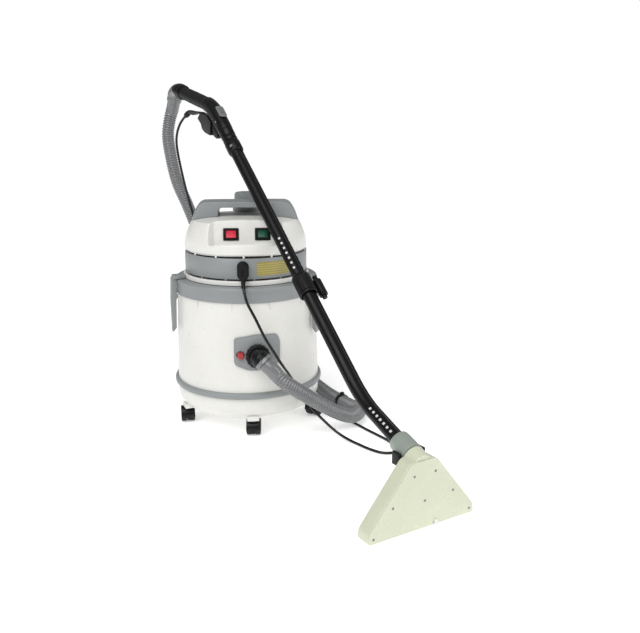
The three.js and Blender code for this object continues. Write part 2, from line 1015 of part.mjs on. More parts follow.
// The yoke that clips the jet bar on: a strap behind the neck with a buckle at each end.
function jetYoke() {
  const arms = [-1, 1].flatMap((side) => {
    const inner = side * 26.5;
    const outer = side * 34;
    const [left, right] = [Math.min(inner, outer), Math.max(inner, outer)];
    return [
      box([left, 20.4, 124], [right, 44, 152]),
      box([left, 20.4, 106], [right, 26, 125]),
    ];
  });
  return fuse(box([-30, 20.4, 106], [30, 23.4, 114]), ...arms);
}

function sprayJet() {
  const nozzle = lathe(
    [
      [0, 0],
      [5, 0],
      [5, 3.5],
      [2.5, 6],
      [0, 6],
    ],
    12,
  );
  return facingFront(nozzle).translate(33, -TOOL_DEPTH / 2 - GAP, 7.5);
}

function lowerTube() {
  const start = [COLLAR_START[0] + 36, COLLAR_START[1] + 36 * Math.tan(rad(COLLAR_TILT))];
  const path = new THREE.CurvePath();
  const bendIn = [150, 189.7];
  const corner = [193.4, 204.5];
  const bendOut = onRun(-36);
  path.add(new THREE.LineCurve3(sidePoint(start), sidePoint(bendIn)));
  path.add(
    new THREE.QuadraticBezierCurve3(sidePoint(bendIn), sidePoint(corner), sidePoint(bendOut)),
  );
  path.add(new THREE.LineCurve3(sidePoint(bendOut), sidePoint(onRun(COUPLING_AT - GAP))));
  return sweep(tubeSection(), path, 16, 4);
}

function upperTube() {
  const path = new THREE.LineCurve3(
    sidePoint(onRun(COUPLING_AT)),
    sidePoint(onRun(SLEEVE_AT)),
  );
  return sweep(tubeSection(), path, 1, 4);
}

function couplingNut() {
  return alongRun(
    lathe(
      [
        [19.2, 0],
        [22.6, 0],
        [22.6, 52],
        [21, 56],
        [19.2, 56],
      ],
      20,
    ),
    COUPLING_AT - 36,
  );
}

function solutionCoupler() {
  return alongRun(
    lathe(
      [
        [0, -8],
        [6, -8],
        [6, 0],
        [11, 0],
        [11, 46],
        [6, 50],
        [6, 58],
        [0, 58],
      ],
      14,
    ),
    COUPLING_AT - 46,
    [34.5, 4],
  );
}

function handleSleeve() {
  return alongRun(
    lathe(
      [
        [0, 0],
        [17.5, 0],
        [20.5, 8],
        [20.5, 36],
        [18.8, 41],
        [19.6, 81],
        [0, 81],
      ],
      24,
    ),
    SLEEVE_AT + GAP,
  );
}

function handleBody() {
  const path = new THREE.CurvePath();
  const before = onRun(812);
  path.add(new THREE.LineCurve3(sidePoint(onRun(HANDLE_AT)), sidePoint(before)));
  path.add(
    new THREE.QuadraticBezierCurve3(
      sidePoint(before),
      sidePoint(HANDLE_CORNER),
      sidePoint(GRIP_START),
    ),
  );
  return sweep(circle(20.5), path, 8, 8);
}

function grip() {
  const start = [GRIP_START[0] + GAP, GRIP_START[1] + 0.06];
  const path = new THREE.LineCurve3(sidePoint(start), sidePoint(GRIP_END));
  return sweep(circle(18.5), path, 1, 8);
}

function endCuff() {
  const points = [
    [GRIP_END[0] + GAP, GRIP_END[1]],
    [1148, 870.5],
    [1180, 864],
    [1194, 842],
  ].map(sidePoint);
  return sweep(circle(21.5), new THREE.CatmullRomCurve3(points), 6, 8);
}

const TRIGGER_PIVOT = [941, 772];

// The valve hangs under the handle, with its inlet horn pointing back under the grip.
function valveBody() {
  const body = sideProfile(
    [
      [1082.4, 816.4],
      [1040, 813],
      [985, 810.5],
      [938, 798],
      [915, 786],
      [893, 766],
      [878, 744],
      [890, 739],
      [912, 748],
      [922, 757],
      [930, 757],
      [953, 765],
      [965, 777],
      [971, 790],
      [1004, 807],
      [1046, 801.5],
      [1077.8, 805],
    ],
    5.6,
  );
  const pivot = cylinder(3.4, -8, 8, 12).rotateY(Math.PI / 2).translate(0, ...TRIGGER_PIVOT);
  return cut(body, pivot);
}

// A channel round the valve, closed below, on a cross pin.
function trigger() {
  const outline = [
    [985, 808],
    [945, 801],
    [919, 784],
    [924, 748],
    [957, 755],
    [976, 765],
    [982, 778],
    [1003, 793],
    [1001, 795],
  ];
  const web = 3;
  const room = outline.map(([y, z]) => [y - web, z + web]);
  const pin = cylinder(3, -9, 9, 12).rotateY(Math.PI / 2).translate(0, ...TRIGGER_PIVOT);
  return fuse(cut(sideProfile(outline, 10), sideProfile(room, 6.3)), pin);
}

function thumbSlider() {
  const pad = prism(roundedRectangle(22, 40, 6), 21.2, 26, 4);
  return pad.rotateX(rad(WAND_TILT)).translate(0, ...onRun(812));
}

function lineConnector() {
  return lathe(
    [
      [0, 0],
      [6, 0],
      [6, 9],
      [8, 11],
      [8, 24],
      [5, 36],
      [0, 36],
    ],
    14,
  )
    .rotateX(-rad(112))
    .translate(0, 1080.5, 810.6);
}

function wand(parent) {
  const group = turnedGroup(parent, WAND_YAW, [...TOOL_FOOT, 0]);
  piece(group, "tool_body", toolBody(), "cream");
  piece(group, "tool_cover", toolCover(), "cream");
  piece(group, "tool_collar", toolCollar(), "greyGreen");
  piece(group, "jet_yoke", jetYoke(), "black");
  piece(group, "spray_jet", sprayJet(), "white");
  piece(group, "lower_tube", lowerTube(), "black");
  piece(group, "coupling_nut", couplingNut(), "black");
  piece(group, "solution_coupler", solutionCoupler(), "black");
  piece(group, "upper_tube", upperTube(), "black");
  piece(group, "handle_sleeve", handleSleeve(), "black");
  piece(group, "handle_body", handleBody(), "black");
  piece(group, "thumb_slider", thumbSlider(), "silver");
  piece(group, "valve_body", valveBody(), "black");
  piece(group, "trigger", trigger(), "darkGrey");
  piece(group, "grip", grip(), "black");
  piece(group, "end_cuff", endCuff(), "black");
  piece(group, "line_connector", lineConnector(), "black");
}

// ---- Hose and line ---------------------------------------------------------------------------

const HOSE_ROUTE = [
  [62.3, -227.1, 212.7],
  [80, -233.7, 196.8],
  [105, -233, 170],
  [139, -216, 140],
  [173, -191, 109],
  [209, -168, 79],
  [245, -148, 53],
  [277, -121, 34],
  [299, -85, 29],
  [301, -42, 24],
  [283, -5, 19],
  [252, 40, 19],
  [220, 97, 19],
  [192, 160, 19],
  [162, 226, 19],
  [117, 284, 19],
  [60, 320, 19],
  [2, 333, 24],
  [-48, 328, 58],
  [-88, 318, 130],
  [-118, 306, 230],
  [-140, 301, 330],
  [-160, 302, 420],
  [-181, 310, 483],
  [-206, 330, 541],
  [-238, 355, 608],
  [-260, 380, 699],
  [-265.5, 393, 745],
  [-259.5, 398, 787],
  [-248.3, 393.3, 820.3],
  [-241.3, 382, 841.4],
];

const LINE_ROUTE = [
  [7.8, -177, 407.6],
  [9, -190, 396],
  [12, -198, 384],
  [19, -207, 360],
  [38, -217, 325],
  [64, -229, 275],
  [85, -232, 241],
  [103, -216, 205],
  [119, -182, 168],
  [136, -152, 128],
  [156, -140, 92],
  [177, -148, 64],
  [205, -166, 40],
  [242, -188, 14],
  [282, -224, 3.5],
  [317, -264, 3.5],
  [350, -288, 3.5],
  [380, -284, 3.5],
  [388, -255, 3.5],
  [370, -215, 3.5],
  [312, -130, 3.5],
  [266, -56, 3.5],
  [228, 30, 3.5],
  [199, 88, 3.5],
  [140, 208, 3.5],
  [96, 258, 3.5],
  [40, 285, 3.5],
  [-10, 290, 6],
  [-55, 288, 46],
  [-88, 282, 120],
  [-112, 274, 220],
  [-153, 273, 420],
  [-171, 285, 480],
  [-185, 296, 520],
  [-211, 310, 620],
  [-228, 320, 720],
  [-226, 328, 752],
  [-217, 332, 777],
  [-205.2, 324.3, 792.1],
  [-198.8, 314.1, 796.9],
];

function cords(parent) {
  const hosePath = new FloorCurve(HOSE_ROUTE, HOSE_R);
  piece(parent, "suction_hose", sweep(circle(HOSE_R), hosePath, 44, 5), "silver");
  const linePath = new FloorCurve(LINE_ROUTE, LINE_R);
  piece(parent, "solution_line", sweep(circle(LINE_R), linePath, 64, 4), "black");
}

// ---- Assembly --------------------------------------------------------------------------------

const machine = new THREE.Group();
piece(machine, "drum", drum(), "white");
piece(machine, "bumper_band", bumperBand(), "grey");
piece(machine, "rim_ring", rimRing(), "grey");
casters(machine);
inlet(machine);
latches(machine);
const head = turnedGroup(machine, HEAD_YAW);
headShells(head);
inside(head, machine);
wand(machine);

// The origin is the bottom centre of everything but the free hose and line.
machine.updateMatrixWorld(true);
const outline = new THREE.Box3().setFromObject(machine, true);
const centre = outline.getCenter(new THREE.Vector3());
cords(machine);
machine.position.set(-centre.x, -centre.y, 0);

const group = new THREE.Group();
group.add(machine);

export default group;
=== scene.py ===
"""Spot extractor: the visual model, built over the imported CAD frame.

Lengths in the builder functions are millimetres about the drum's axis, with the floor at Z = 0,
and place() turns them into metres in the frame.
"""
import math
import bmesh
import bpy
import numpy as np
from mathutils import Matrix, Vector


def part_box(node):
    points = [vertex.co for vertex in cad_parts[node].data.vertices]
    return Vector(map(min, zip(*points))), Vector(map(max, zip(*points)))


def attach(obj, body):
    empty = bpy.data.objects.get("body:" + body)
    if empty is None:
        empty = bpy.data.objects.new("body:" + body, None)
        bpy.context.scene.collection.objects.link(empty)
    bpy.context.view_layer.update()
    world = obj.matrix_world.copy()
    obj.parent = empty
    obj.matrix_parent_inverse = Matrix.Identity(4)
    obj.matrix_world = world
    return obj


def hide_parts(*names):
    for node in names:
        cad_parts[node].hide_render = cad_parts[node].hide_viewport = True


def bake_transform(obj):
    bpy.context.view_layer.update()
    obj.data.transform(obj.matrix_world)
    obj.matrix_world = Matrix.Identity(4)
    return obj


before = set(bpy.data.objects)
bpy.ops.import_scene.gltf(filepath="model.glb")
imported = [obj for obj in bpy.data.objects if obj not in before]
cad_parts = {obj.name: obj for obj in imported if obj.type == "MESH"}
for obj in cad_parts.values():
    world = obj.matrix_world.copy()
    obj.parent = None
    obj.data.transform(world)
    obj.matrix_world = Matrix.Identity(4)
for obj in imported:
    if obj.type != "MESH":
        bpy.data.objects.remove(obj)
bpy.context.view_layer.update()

# ---- Layout ------------------------------------------------------------------------------------

MM = 0.001
ROUND = 112
HEAD_YAW = 4
DRUM_YAW = 8
CASTER_CIRCLE = 176
WAND_YAW = 32
INLET_ANGLE = 12
TOOL_FOOT = (391.7, -630.9)
TOOL_DEPTH = 40

drum_low, drum_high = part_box("drum")
AXIS = Vector(((drum_low[0] + drum_high[0]) / 2, (drum_low[1] + drum_high[1]) / 2, 0))


def place(yaw=0, x=0, y=0, z=0):
    """The matrix from millimetres in a turned group to metres in the frame."""
    return (
        Matrix.Translation(AXIS + Vector((x, y, z)) * MM)
        @ Matrix.Rotation(math.radians(yaw), 4, "Z")
        @ Matrix.Scale(MM, 4)
    )


MACHINE = place()
HEAD = place(HEAD_YAW)
INLET = place(INLET_ANGLE)
WAND = place(WAND_YAW, *TOOL_FOOT)
FRONT = Matrix.Rotation(math.pi / 2, 4, "X")  # +Z to -Y, outward at the machine's front


def point(matrix, x, y, z):
    return matrix @ Vector((x, y, z))


# ---- Camera ------------------------------------------------------------------------------------

scene = bpy.context.scene
camera_data = bpy.data.cameras.new("camera")
camera_data.lens = 45
camera_data.sensor_width = 36
camera = bpy.data.objects.new("camera", camera_data)
camera.location = point(MACHINE, 196, -2099, 806)
camera.rotation_euler = (math.radians(90 - 14.23), 0, 0)
scene.collection.objects.link(camera)
scene.camera = camera

# ---- Materials ---------------------------------------------------------------------------------


def nodes_of(name):
    material = bpy.data.materials.new(name)
    material.use_nodes = True
    tree = material.node_tree
    return material, tree, tree.nodes["Principled BSDF"]


def noise(tree, scale, detail=3.0, roughness=0.5):
    coordinates = tree.nodes.new("ShaderNodeTexCoord")
    texture = tree.nodes.new("ShaderNodeTexNoise")
    texture.inputs["Scale"].default_value = scale
    texture.inputs["Detail"].default_value = detail
    texture.inputs["Roughness"].default_value = roughness
    tree.links.new(coordinates.outputs["Object"], texture.inputs["Vector"])
    return texture.outputs["Fac"]


def ramp(tree, factor, stops):
    node = tree.nodes.new("ShaderNodeValToRGB")
    node.color_ramp.elements[0].position = stops[0][0]
    node.color_ramp.elements[0].color = stops[0][1]
    node.color_ramp.elements[1].position = stops[1][0]
    node.color_ramp.elements[1].color = stops[1][1]
    for place_at, colour in stops[2:]:
        element = node.color_ramp.elements.new(place_at)
        element.color = colour
    tree.links.new(factor, node.inputs["Fac"])
    return node.outputs["Color"]


def mix(tree, factor, a, b, kind="MIX"):
    node = tree.nodes.new("ShaderNodeMix")
    node.data_type = "RGBA"
    node.blend_type = kind
    for value, slot in ((factor, 0), (a, 6), (b, 7)):
        if isinstance(value, bpy.types.NodeSocket):
            tree.links.new(value, node.inputs[slot])
        else:
            node.inputs[slot].default_value = value
    return node.outputs[2]


def tint(colour, gain):
    return tuple(min(1.0, channel * gain) for channel in colour[:3]) + (1.0,)


def grey(value):
    return (value, value, value, 1.0)


def bump(tree, height, strength, distance):
    node = tree.nodes.new("ShaderNodeBump")
    node.inputs["Strength"].default_value = strength
    node.inputs["Distance"].default_value = distance
    tree.links.new(height, node.inputs["Height"])
    return node.outputs["Normal"]


def plastic(name, colour, roughness, grain=0.25, edge_wear_and_highlight=0.06, scuff=0.08, coat=0.0, shine=0.5):
    """A moulded plastic: mottled colour, fine grain, scuffed gloss, edges paler by wear and
    painted highlight.
    """
    material, tree, shader = nodes_of(name)
    mottle = ramp(tree, noise(tree, 9, 4), [(0.3, tint(colour, 0.95)), (0.7, tint(colour, 1.03))])
    speck = ramp(tree, noise(tree, 260, 2), [(0.25, grey(0.96)), (0.75, grey(1.0))])
    base = mix(tree, 1.0, mottle, speck, "MULTIPLY")
    geometry = tree.nodes.new("ShaderNodeNewGeometry")
    # Convex edges found by pointiness are made paler, partly as rubbed wear and partly as a
    # painted highlight.
    edges = ramp(tree, geometry.outputs["Pointiness"], [(0.52, grey(0)), (0.62, grey(1))])
    rubbed_and_lit_edge = mix(tree, 0.5, tint(colour, 1.0 + edge_wear_and_highlight * 3), (0.75, 0.75, 0.74, 1))
    edge_wear_and_highlight_mix = mix(tree, edge_wear_and_highlight, base, rubbed_and_lit_edge)
    tree.links.new(mix(tree, edges, base, edge_wear_and_highlight_mix), shader.inputs["Base Color"])
    gloss = ramp(
        tree,
        noise(tree, 34, 6, 0.62),
        [(0.32, grey(max(0.02, roughness - scuff))), (0.68, grey(min(1, roughness + scuff)))],
    )
    tree.links.new(gloss, shader.inputs["Roughness"])
    fine = noise(tree, 1500, 2)
    tree.links.new(bump(tree, fine, grain, 0.0002), shader.inputs["Normal"])
    shader.inputs["IOR"].default_value = 1.5
    shader.inputs["Specular IOR Level"].default_value = shine
    shader.inputs["Coat Weight"].default_value = coat
    shader.inputs["Coat Roughness"].default_value = 0.12
    return material


def metal(name, colour, roughness, scale=300):
    """A machined or pressed metal with fine turning marks."""
    material, tree, shader = nodes_of(name)
    shader.inputs["Metallic"].default_value = 1.0
    darker, paler = tint(colour, 0.85), tint(colour, 1.08)
    marks = ramp(tree, noise(tree, scale, 5), [(0.3, darker), (0.7, paler)])
    tree.links.new(marks, shader.inputs["Base Color"])
    gloss = ramp(
        tree, noise(tree, 60, 4), [(0.3, grey(roughness - 0.08)), (0.7, grey(roughness + 0.08))]
    )
    tree.links.new(gloss, shader.inputs["Roughness"])
    tree.links.new(bump(tree, noise(tree, scale * 4, 2), 0.2, 0.0001), shader.inputs["Normal"])
    return material


def printed_label(name):
    """A plain label: a yellow ground with paler and darker bands, and no text."""
    material, tree, shader = nodes_of(name)
    coordinates = tree.nodes.new("ShaderNodeTexCoord")
    wave = tree.nodes.new("ShaderNodeTexWave")
    wave.bands_direction = "Z"
    wave.inputs["Scale"].default_value = 55
    wave.inputs["Distortion"].default_value = 0.15
    tree.links.new(coordinates.outputs["Object"], wave.inputs["Vector"])
    bands = ramp(
        tree, wave.outputs["Fac"], [(0.35, (0.40, 0.34, 0.10, 1)), (0.6, (0.30, 0.25, 0.07, 1))]
    )
    blotch = ramp(tree, noise(tree, 30, 4), [(0.35, grey(0.9)), (0.7, grey(1.0))])
    tree.links.new(mix(tree, 1.0, bands, blotch, "MULTIPLY"), shader.inputs["Base Color"])
    shader.inputs["Roughness"].default_value = 0.45
    tree.links.new(bump(tree, noise(tree, 700, 2), 0.15, 0.0001), shader.inputs["Normal"])
    return material


WHITE = plastic("white plastic", (0.74, 0.735, 0.70), 0.34, grain=0.12, coat=0.15)
GREY = plastic("grey plastic", (0.255, 0.27, 0.275), 0.42, grain=0.22)
BLACK = plastic("black plastic", (0.004, 0.004, 0.0045), 0.34, grain=0.15, edge_wear_and_highlight=0.02, shine=0.22)
BLACK_TEXTURED = plastic(
    "black grip plastic", (0.005, 0.005, 0.0055), 0.48, grain=0.5, edge_wear_and_highlight=0.02, shine=0.3
)
DARK = plastic("trigger plastic", (0.028, 0.028, 0.030), 0.5, grain=0.3, edge_wear_and_highlight=0.03, shine=0.3)
SLIDER = plastic("slider plastic", (0.17, 0.175, 0.18), 0.5, grain=0.4)
HOSE = plastic("hose plastic", (0.17, 0.175, 0.18), 0.26, grain=0.05, scuff=0.05, coat=0.4)
LINE = plastic("line jacket", (0.004, 0.004, 0.004), 0.28, grain=0.1, edge_wear_and_highlight=0.01, shine=0.4)
CREAM = plastic("cream plastic", (0.62, 0.64, 0.49), 0.30, grain=0.08, coat=0.25)
COLLAR = plastic("collar plastic", (0.27, 0.31, 0.275), 0.34, grain=0.1, coat=0.2)
TREAD = plastic("caster tread", (0.008, 0.008, 0.008), 0.55, grain=0.5, edge_wear_and_highlight=0.02, shine=0.3)
RED = plastic("red lens", (0.60, 0.02, 0.05), 0.3, grain=0.05, shine=0.25)
GREEN = plastic("green lens", (0.0, 0.065, 0.03), 0.3, grain=0.05, shine=0.25)
BUTTON_RED = plastic("red button", (0.42, 0.03, 0.03), 0.35, grain=0.1)
# The pips' pale paint is a painted highlight on small raised ribs of the tubes.
PIP_PAINTED_HIGHLIGHT = plastic("pip painted highlight", (0.62, 0.62, 0.60), 0.4, grain=0.1)
LABEL = printed_label("label")
STEEL = metal("screw steel", (0.30, 0.30, 0.29), 0.4)
MOTOR = metal("motor steel", (0.55, 0.56, 0.57), 0.38)
CAST = metal("cast aluminium", (0.62, 0.63, 0.64), 0.5, 500)

# ---- Mesh helpers ------------------------------------------------------------------------------


def to_object(name, bm, matrix, keep_sharp=38):
    """A mesh object from a bmesh in millimetres, smooth but for its sharp edges."""
    bmesh.ops.remove_doubles(bm, verts=bm.verts, dist=1e-4)
    bmesh.ops.recalc_face_normals(bm, faces=bm.faces)
    mesh = bpy.data.meshes.new(name)
    bm.to_mesh(mesh)
    bm.free()
    mesh.transform(matrix)
    thing = bpy.data.objects.new(name, mesh)
    scene.collection.objects.link(thing)
    shade(thing, keep_sharp)
    return thing


def shade(thing, keep_sharp=38):
    mesh = thing.data
    bm = bmesh.new()
    bm.from_mesh(mesh)
    limit = math.radians(keep_sharp)
    for face in bm.faces:
        face.smooth = True
    for edge in bm.edges:
        edge.smooth = len(edge.link_faces) != 2 or edge.calc_face_angle(0) < limit
    bm.to_mesh(mesh)
    bm.free()


def baked(thing):
    """Applies the object's modifiers to its mesh."""
    graph = bpy.context.evaluated_depsgraph_get()
    graph.update()
    mesh = bpy.data.meshes.new_from_object(thing.evaluated_get(graph))
    old = thing.data
    thing.modifiers.clear()
    thing.data = mesh
    bpy.data.meshes.remove(old)
    return thing


def bevelled(thing, width, segments=3, angle=32):
    modifier = thing.modifiers.new("bevel", "BEVEL")
    modifier.width = width * MM
    modifier.segments = segments
    modifier.limit_method = "ANGLE"
    modifier.angle_limit = math.radians(angle)
    baked(thing)
    shade(thing, 50)
    return thing


def combined(thing, *others, operation="DIFFERENCE"):
    """Cuts, joins or intersects a mesh with others, which are used up."""
    for other in others:
        modifier = thing.modifiers.new("boolean", "BOOLEAN")
        modifier.operation = operation
        modifier.solver = "EXACT"
        modifier.object = other
        baked(thing)
        bpy.data.objects.remove(other)
    return thing


def moulded(thing, voxel, rounds=6, factor=0.5):
    """Remeshes a solid finely and softens its edges, as a moulding's are."""
    remesh = thing.modifiers.new("remesh", "REMESH")
    remesh.mode = "VOXEL"
    remesh.voxel_size = voxel * MM
    smooth = thing.modifiers.new("smooth", "SMOOTH")
    smooth.factor = factor
    smooth.iterations = rounds
    baked(thing)
    shade(thing, 60)
    return thing


def joined(name, things):
    """One object out of several."""
    bm = bmesh.new()
    for thing in things:
        thing.data.transform(thing.matrix_world)
        bm.from_mesh(thing.data)
        bpy.data.objects.remove(thing)
    mesh = bpy.data.meshes.new(name)
    bm.to_mesh(mesh)
    bm.free()
    thing = bpy.data.objects.new(name, mesh)
    scene.collection.objects.link(thing)
    return thing


def finish(thing, material, body="machine", nodes=()):
    thing.data.materials.clear()
    thing.data.materials.append(material)
    if nodes:
        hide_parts(*([nodes] if isinstance(nodes, str) else nodes))
    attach(thing, body)
    return thing


def turned(name, profile, matrix, segments=ROUND, wobble=None, keep_sharp=38):
    """A closed [radius, height] profile turned about Z. wobble(angle, r, z) moves the radius."""
    bm = bmesh.new()
    rings = []
    for r, z in profile:
        if r == 0:
            rings.append([bm.verts.new((0, 0, z))])
            continue
        ring = []
        for i in range(segments):
            angle = 2 * math.pi * i / segments
            radius = wobble(angle, r, z) if wobble else r
            ring.append(bm.verts.new((radius * math.cos(angle), radius * math.sin(angle), z)))
        rings.append(ring)
    closed = profile[0][0] > 0 or profile[-1][0] > 0
    pairs = list(zip(rings, rings[1:] + rings[:1]))
    if not closed:
        pairs.pop()
    for low, high in pairs:
        for i in range(segments):
            k = (i + 1) % segments
            if len(low) == 1 and len(high) == 1:
                continue
            if len(low) == 1:
                bm.faces.new((low[0], high[k], high[i]))
            elif len(high) == 1:
                bm.faces.new((low[i], low[k], high[0]))
            else:
                bm.faces.new((low[i], low[k], high[k], high[i]))
    return to_object(name, bm, matrix, keep_sharp)


def rod(name, radius, low, high, matrix, segments):
    """A plain cylinder along Z, for pins and for the holes that they need."""
    profile = [(0, low), (radius, low), (radius, high), (0, high)]
    return turned(name, profile, matrix, segments)


def outline_solid(name, outline, low, high, matrix):
    """A flat [x, y] outline pulled from Z low to Z high."""
    bm = bmesh.new()
    bottom = [bm.verts.new((x, y, low)) for x, y in outline]
    top = [bm.verts.new((x, y, high)) for x, y in outline]
    bm.faces.new(bottom[::-1])
    bm.faces.new(top)
    count = len(outline)
    for i in range(count):
        k = (i + 1) % count
        bm.faces.new((bottom[i], bottom[k], top[k], top[i]))
    return to_object(name, bm, matrix)


def side_solid(name, outline, half, matrix, middle=0):
    """A side outline in [y, z], from X middle - half to middle + half."""
    turn = Matrix(((0, 0, 1, middle), (1, 0, 0, 0), (0, 1, 0, 0), (0, 0, 0, 1)))
    return outline_solid(name, outline, -half, half, matrix @ turn)


def block(name, low, high, matrix):
    corners = [(low[0], low[1]), (high[0], low[1]), (high[0], high[1]), (low[0], high[1])]
    return outline_solid(name, corners, low[2], high[2], matrix)


def rounded_rectangle(width, height, radius, steps=6):
    points = []
    for cx, cy, start in (
        (width / 2 - radius, -height / 2 + radius, -90),
        (width / 2 - radius, height / 2 - radius, 0),
        (-width / 2 + radius, height / 2 - radius, 90),
        (-width / 2 + radius, -height / 2 + radius, 180),
    ):
        for i in range(steps + 1):
            angle = math.radians(start + 90 * i / steps)
            points.append((cx + radius * math.cos(angle), cy + radius * math.sin(angle)))
    return points


def pulled(start, corner, end, steps):
    """Points of a curve from start to end, pulled towards a corner."""
    shares = [k / steps for k in range(steps + 1)]
    return [start * (1 - t) ** 2 + corner * 2 * t * (1 - t) + end * t**2 for t in shares]


def rounded_outline(points, radius, steps=5):
    """An outline with each corner rounded, by a radius or a list of radii."""
    radii = radius if isinstance(radius, (list, tuple)) else [radius] * len(points)
    result = []
    count = len(points)
    for i, corner_radius in enumerate(radii):
        corner = Vector(points[i])
        before = Vector(points[i - 1]) - corner
        after = Vector(points[(i + 1) % count]) - corner
        reach = min(corner_radius, before.length * 0.45, after.length * 0.45)
        start = corner + before.normalized() * reach
        end = corner + after.normalized() * reach
        result += [(spot.x, spot.y) for spot in pulled(start, corner, end, steps)]
    return result


def swept(name, path, section, matrix, sideways=(1, 0, 0), cap=True, keep_sharp=38):
    """A section swept along a path. section is a list of (a, b), or a function of the step."""
    bm = bmesh.new()
    across = Vector(sideways)
    rings = []
    last = len(path) - 1
    for i, centre in enumerate(path):
        centre = Vector(centre)
        ahead = Vector(path[min(i + 1, last)]) - Vector(path[max(i - 1, 0)])
        along = ahead.normalized()
        across = (across - along * across.dot(along)).normalized()
        up = across.cross(along)
        shape = section(i) if callable(section) else section
        rings.append([bm.verts.new(centre + across * a + up * b) for a, b in shape])
    for low, high in zip(rings, rings[1:]):
        count = len(low)
        for i in range(count):
            k = (i + 1) % count
            bm.faces.new((low[i], low[k], high[k], high[i]))
    if cap:
        bm.faces.new(rings[0][::-1])
        bm.faces.new(rings[-1])
    return to_object(name, bm, matrix, keep_sharp)


def circle(radius, count=32):
    return [
        (radius * math.cos(2 * math.pi * i / count), radius * math.sin(2 * math.pi * i / count))
        for i in range(count)
    ]


def screw(name, matrix, radius=3.4):
    """A cross-recess screw head, its face towards +Z."""
    head = turned(name, [(0, -1.5), (radius, -1.5), (radius, 0.1), (radius * 0.75, 0.9), (0, 1.2)],
                  matrix, 24)
    slots = [
        block("slot", (-radius * 0.62, -0.45, 0.3), (radius * 0.62, 0.45, 2.5), matrix @ turn)
        for turn in (Matrix.Identity(4), Matrix.Rotation(math.pi / 2, 4, "Z"))
    ]
    return combined(head, *slots)


# ---- Cords -------------------------------------------------------------------------------------

HOSE_RADIUS = 19
LINE_RADIUS = 3.5

HOSE_ROUTE = [
    (62.3, -227.1, 212.7),
    (80, -233.7, 196.8),
    (105, -233, 170),
    (139, -216, 140),
    (173, -191, 109),
    (209, -168, 79),
    (245, -148, 53),
    (277, -121, 34),
    (299, -85, 29),
    (301, -42, 24),
    (283, -5, 19),
    (252, 40, 19),
    (220, 97, 19),
    (192, 160, 19),
    (162, 226, 19),
    (117, 284, 19),
    (60, 320, 19),
    (2, 333, 24),
    (-48, 328, 58),
    (-88, 318, 130),
    (-118, 306, 230),
    (-140, 301, 330),
    (-160, 302, 420),
    (-181, 310, 483),
    (-206, 330, 541),
    (-238, 355, 608),
    (-260, 380, 699),
    (-265.5, 393, 745),
    (-259.5, 398, 787),
    (-248.3, 393.3, 820.3),
    (-241.3, 382, 841.4),
]

LINE_ROUTE = [
    (7.8, -177, 407.6),
    (9, -190, 396),
    (12, -198, 384),
    (19, -207, 360),
    (38, -217, 325),
    (64, -229, 275),
    (85, -232, 241),
    (103, -216, 205),
    (119, -182, 168),
    (136, -152, 128),
    (156, -140, 92),
    (177, -148, 64),
    (205, -166, 40),
    (242, -188, 14),
    (282, -224, 3.5),
    (317, -264, 3.5),
    (350, -288, 3.5),
    (380, -284, 3.5),
    (388, -255, 3.5),
    (370, -215, 3.5),
    (312, -130, 3.5),
    (266, -56, 3.5),
    (228, 30, 3.5),
    (199, 88, 3.5),
    (140, 208, 3.5),
    (96, 258, 3.5),
    (40, 285, 3.5),
    (-10, 290, 6),
    (-55, 288, 46),
    (-88, 282, 120),
    (-112, 274, 220),
    (-153, 273, 420),
    (-171, 285, 480),
    (-185, 296, 520),
    (-211, 310, 620),
    (-228, 320, 720),
    (-226, 328, 752),
    (-217, 332, 777),
    (-205.2, 324.3, 792.1),
    (-198.8, 314.1, 796.9),
]


def smooth_route(points, lowest, step):
    """Evenly spaced points on the centripetal curve through a route, and the curve's length."""
    p = np.array(points, float)
    p = np.vstack([2 * p[0] - p[1], p, 2 * p[-1] - p[-2]])
    samples = [p[1]]
    for a, b, c, d in zip(p, p[1:], p[2:], p[3:]):
        d0, d1, d2 = (np.linalg.norm(v) ** 0.5 for v in (b - a, c - b, d - c))
        start = ((b - a) / d0 - (c - a) / (d0 + d1) + (c - b) / d1) * d1
        end = ((c - b) / d1 - (d - b) / (d1 + d2) + (d - c) / d2) * d1
        for t in np.linspace(0, 1, 33)[1:]:
            samples.append(
                b + start * t
                + (-3 * b + 3 * c - 2 * start - end) * t**2
                + (2 * b - 2 * c + start + end) * t**3
            )
    line = np.array(samples)
    line[:, 2] = np.maximum(line[:, 2], lowest)
    along = np.concatenate([[0], np.cumsum(np.linalg.norm(np.diff(line, axis=0), axis=1))])
    count = int(round(along[-1] / step))
    at = np.linspace(0, along[-1], count + 1)
    return np.stack([np.interp(at, along, line[:, k]) for k in range(3)], axis=1), along[-1]


def suction_hose():
    """A corrugated hose: rounded ribs, fading into a smooth cuff at each end."""
    pitch = 7.4
    per_rib = 8
    path, length = smooth_route(HOSE_ROUTE, HOSE_RADIUS, pitch / per_rib)
    cuff = 34

    def section(i):
        along = length * i / (len(path) - 1)
        fade = min(1, max(0, (min(along, length - along) - cuff) / 14))
        rib = 0.5 + 0.5 * math.cos(2 * math.pi * i / per_rib)
        return circle(HOSE_RADIUS - 0.2 - 2.7 * fade * (1 - rib) ** 1.6, 32)

    hose = swept("hose", path, section, MACHINE, (0, 0, 1), keep_sharp=80)
    finish_cord(hose, HOSE, "suction_hose")
    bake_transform(hose)


def solution_line():
    path, length = smooth_route(LINE_ROUTE, LINE_RADIUS, 6)
    line = swept("line", path, circle(LINE_RADIUS, 14), MACHINE, (1, 0, 0), keep_sharp=80)
    finish_cord(line, LINE, "solution_line")
    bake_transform(line)


def finish_cord(thing, material, node):
    thing.data.materials.append(material)
    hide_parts(node)


suction_hose()
solution_line()

# ---- Drum and base -----------------------------------------------------------------------------

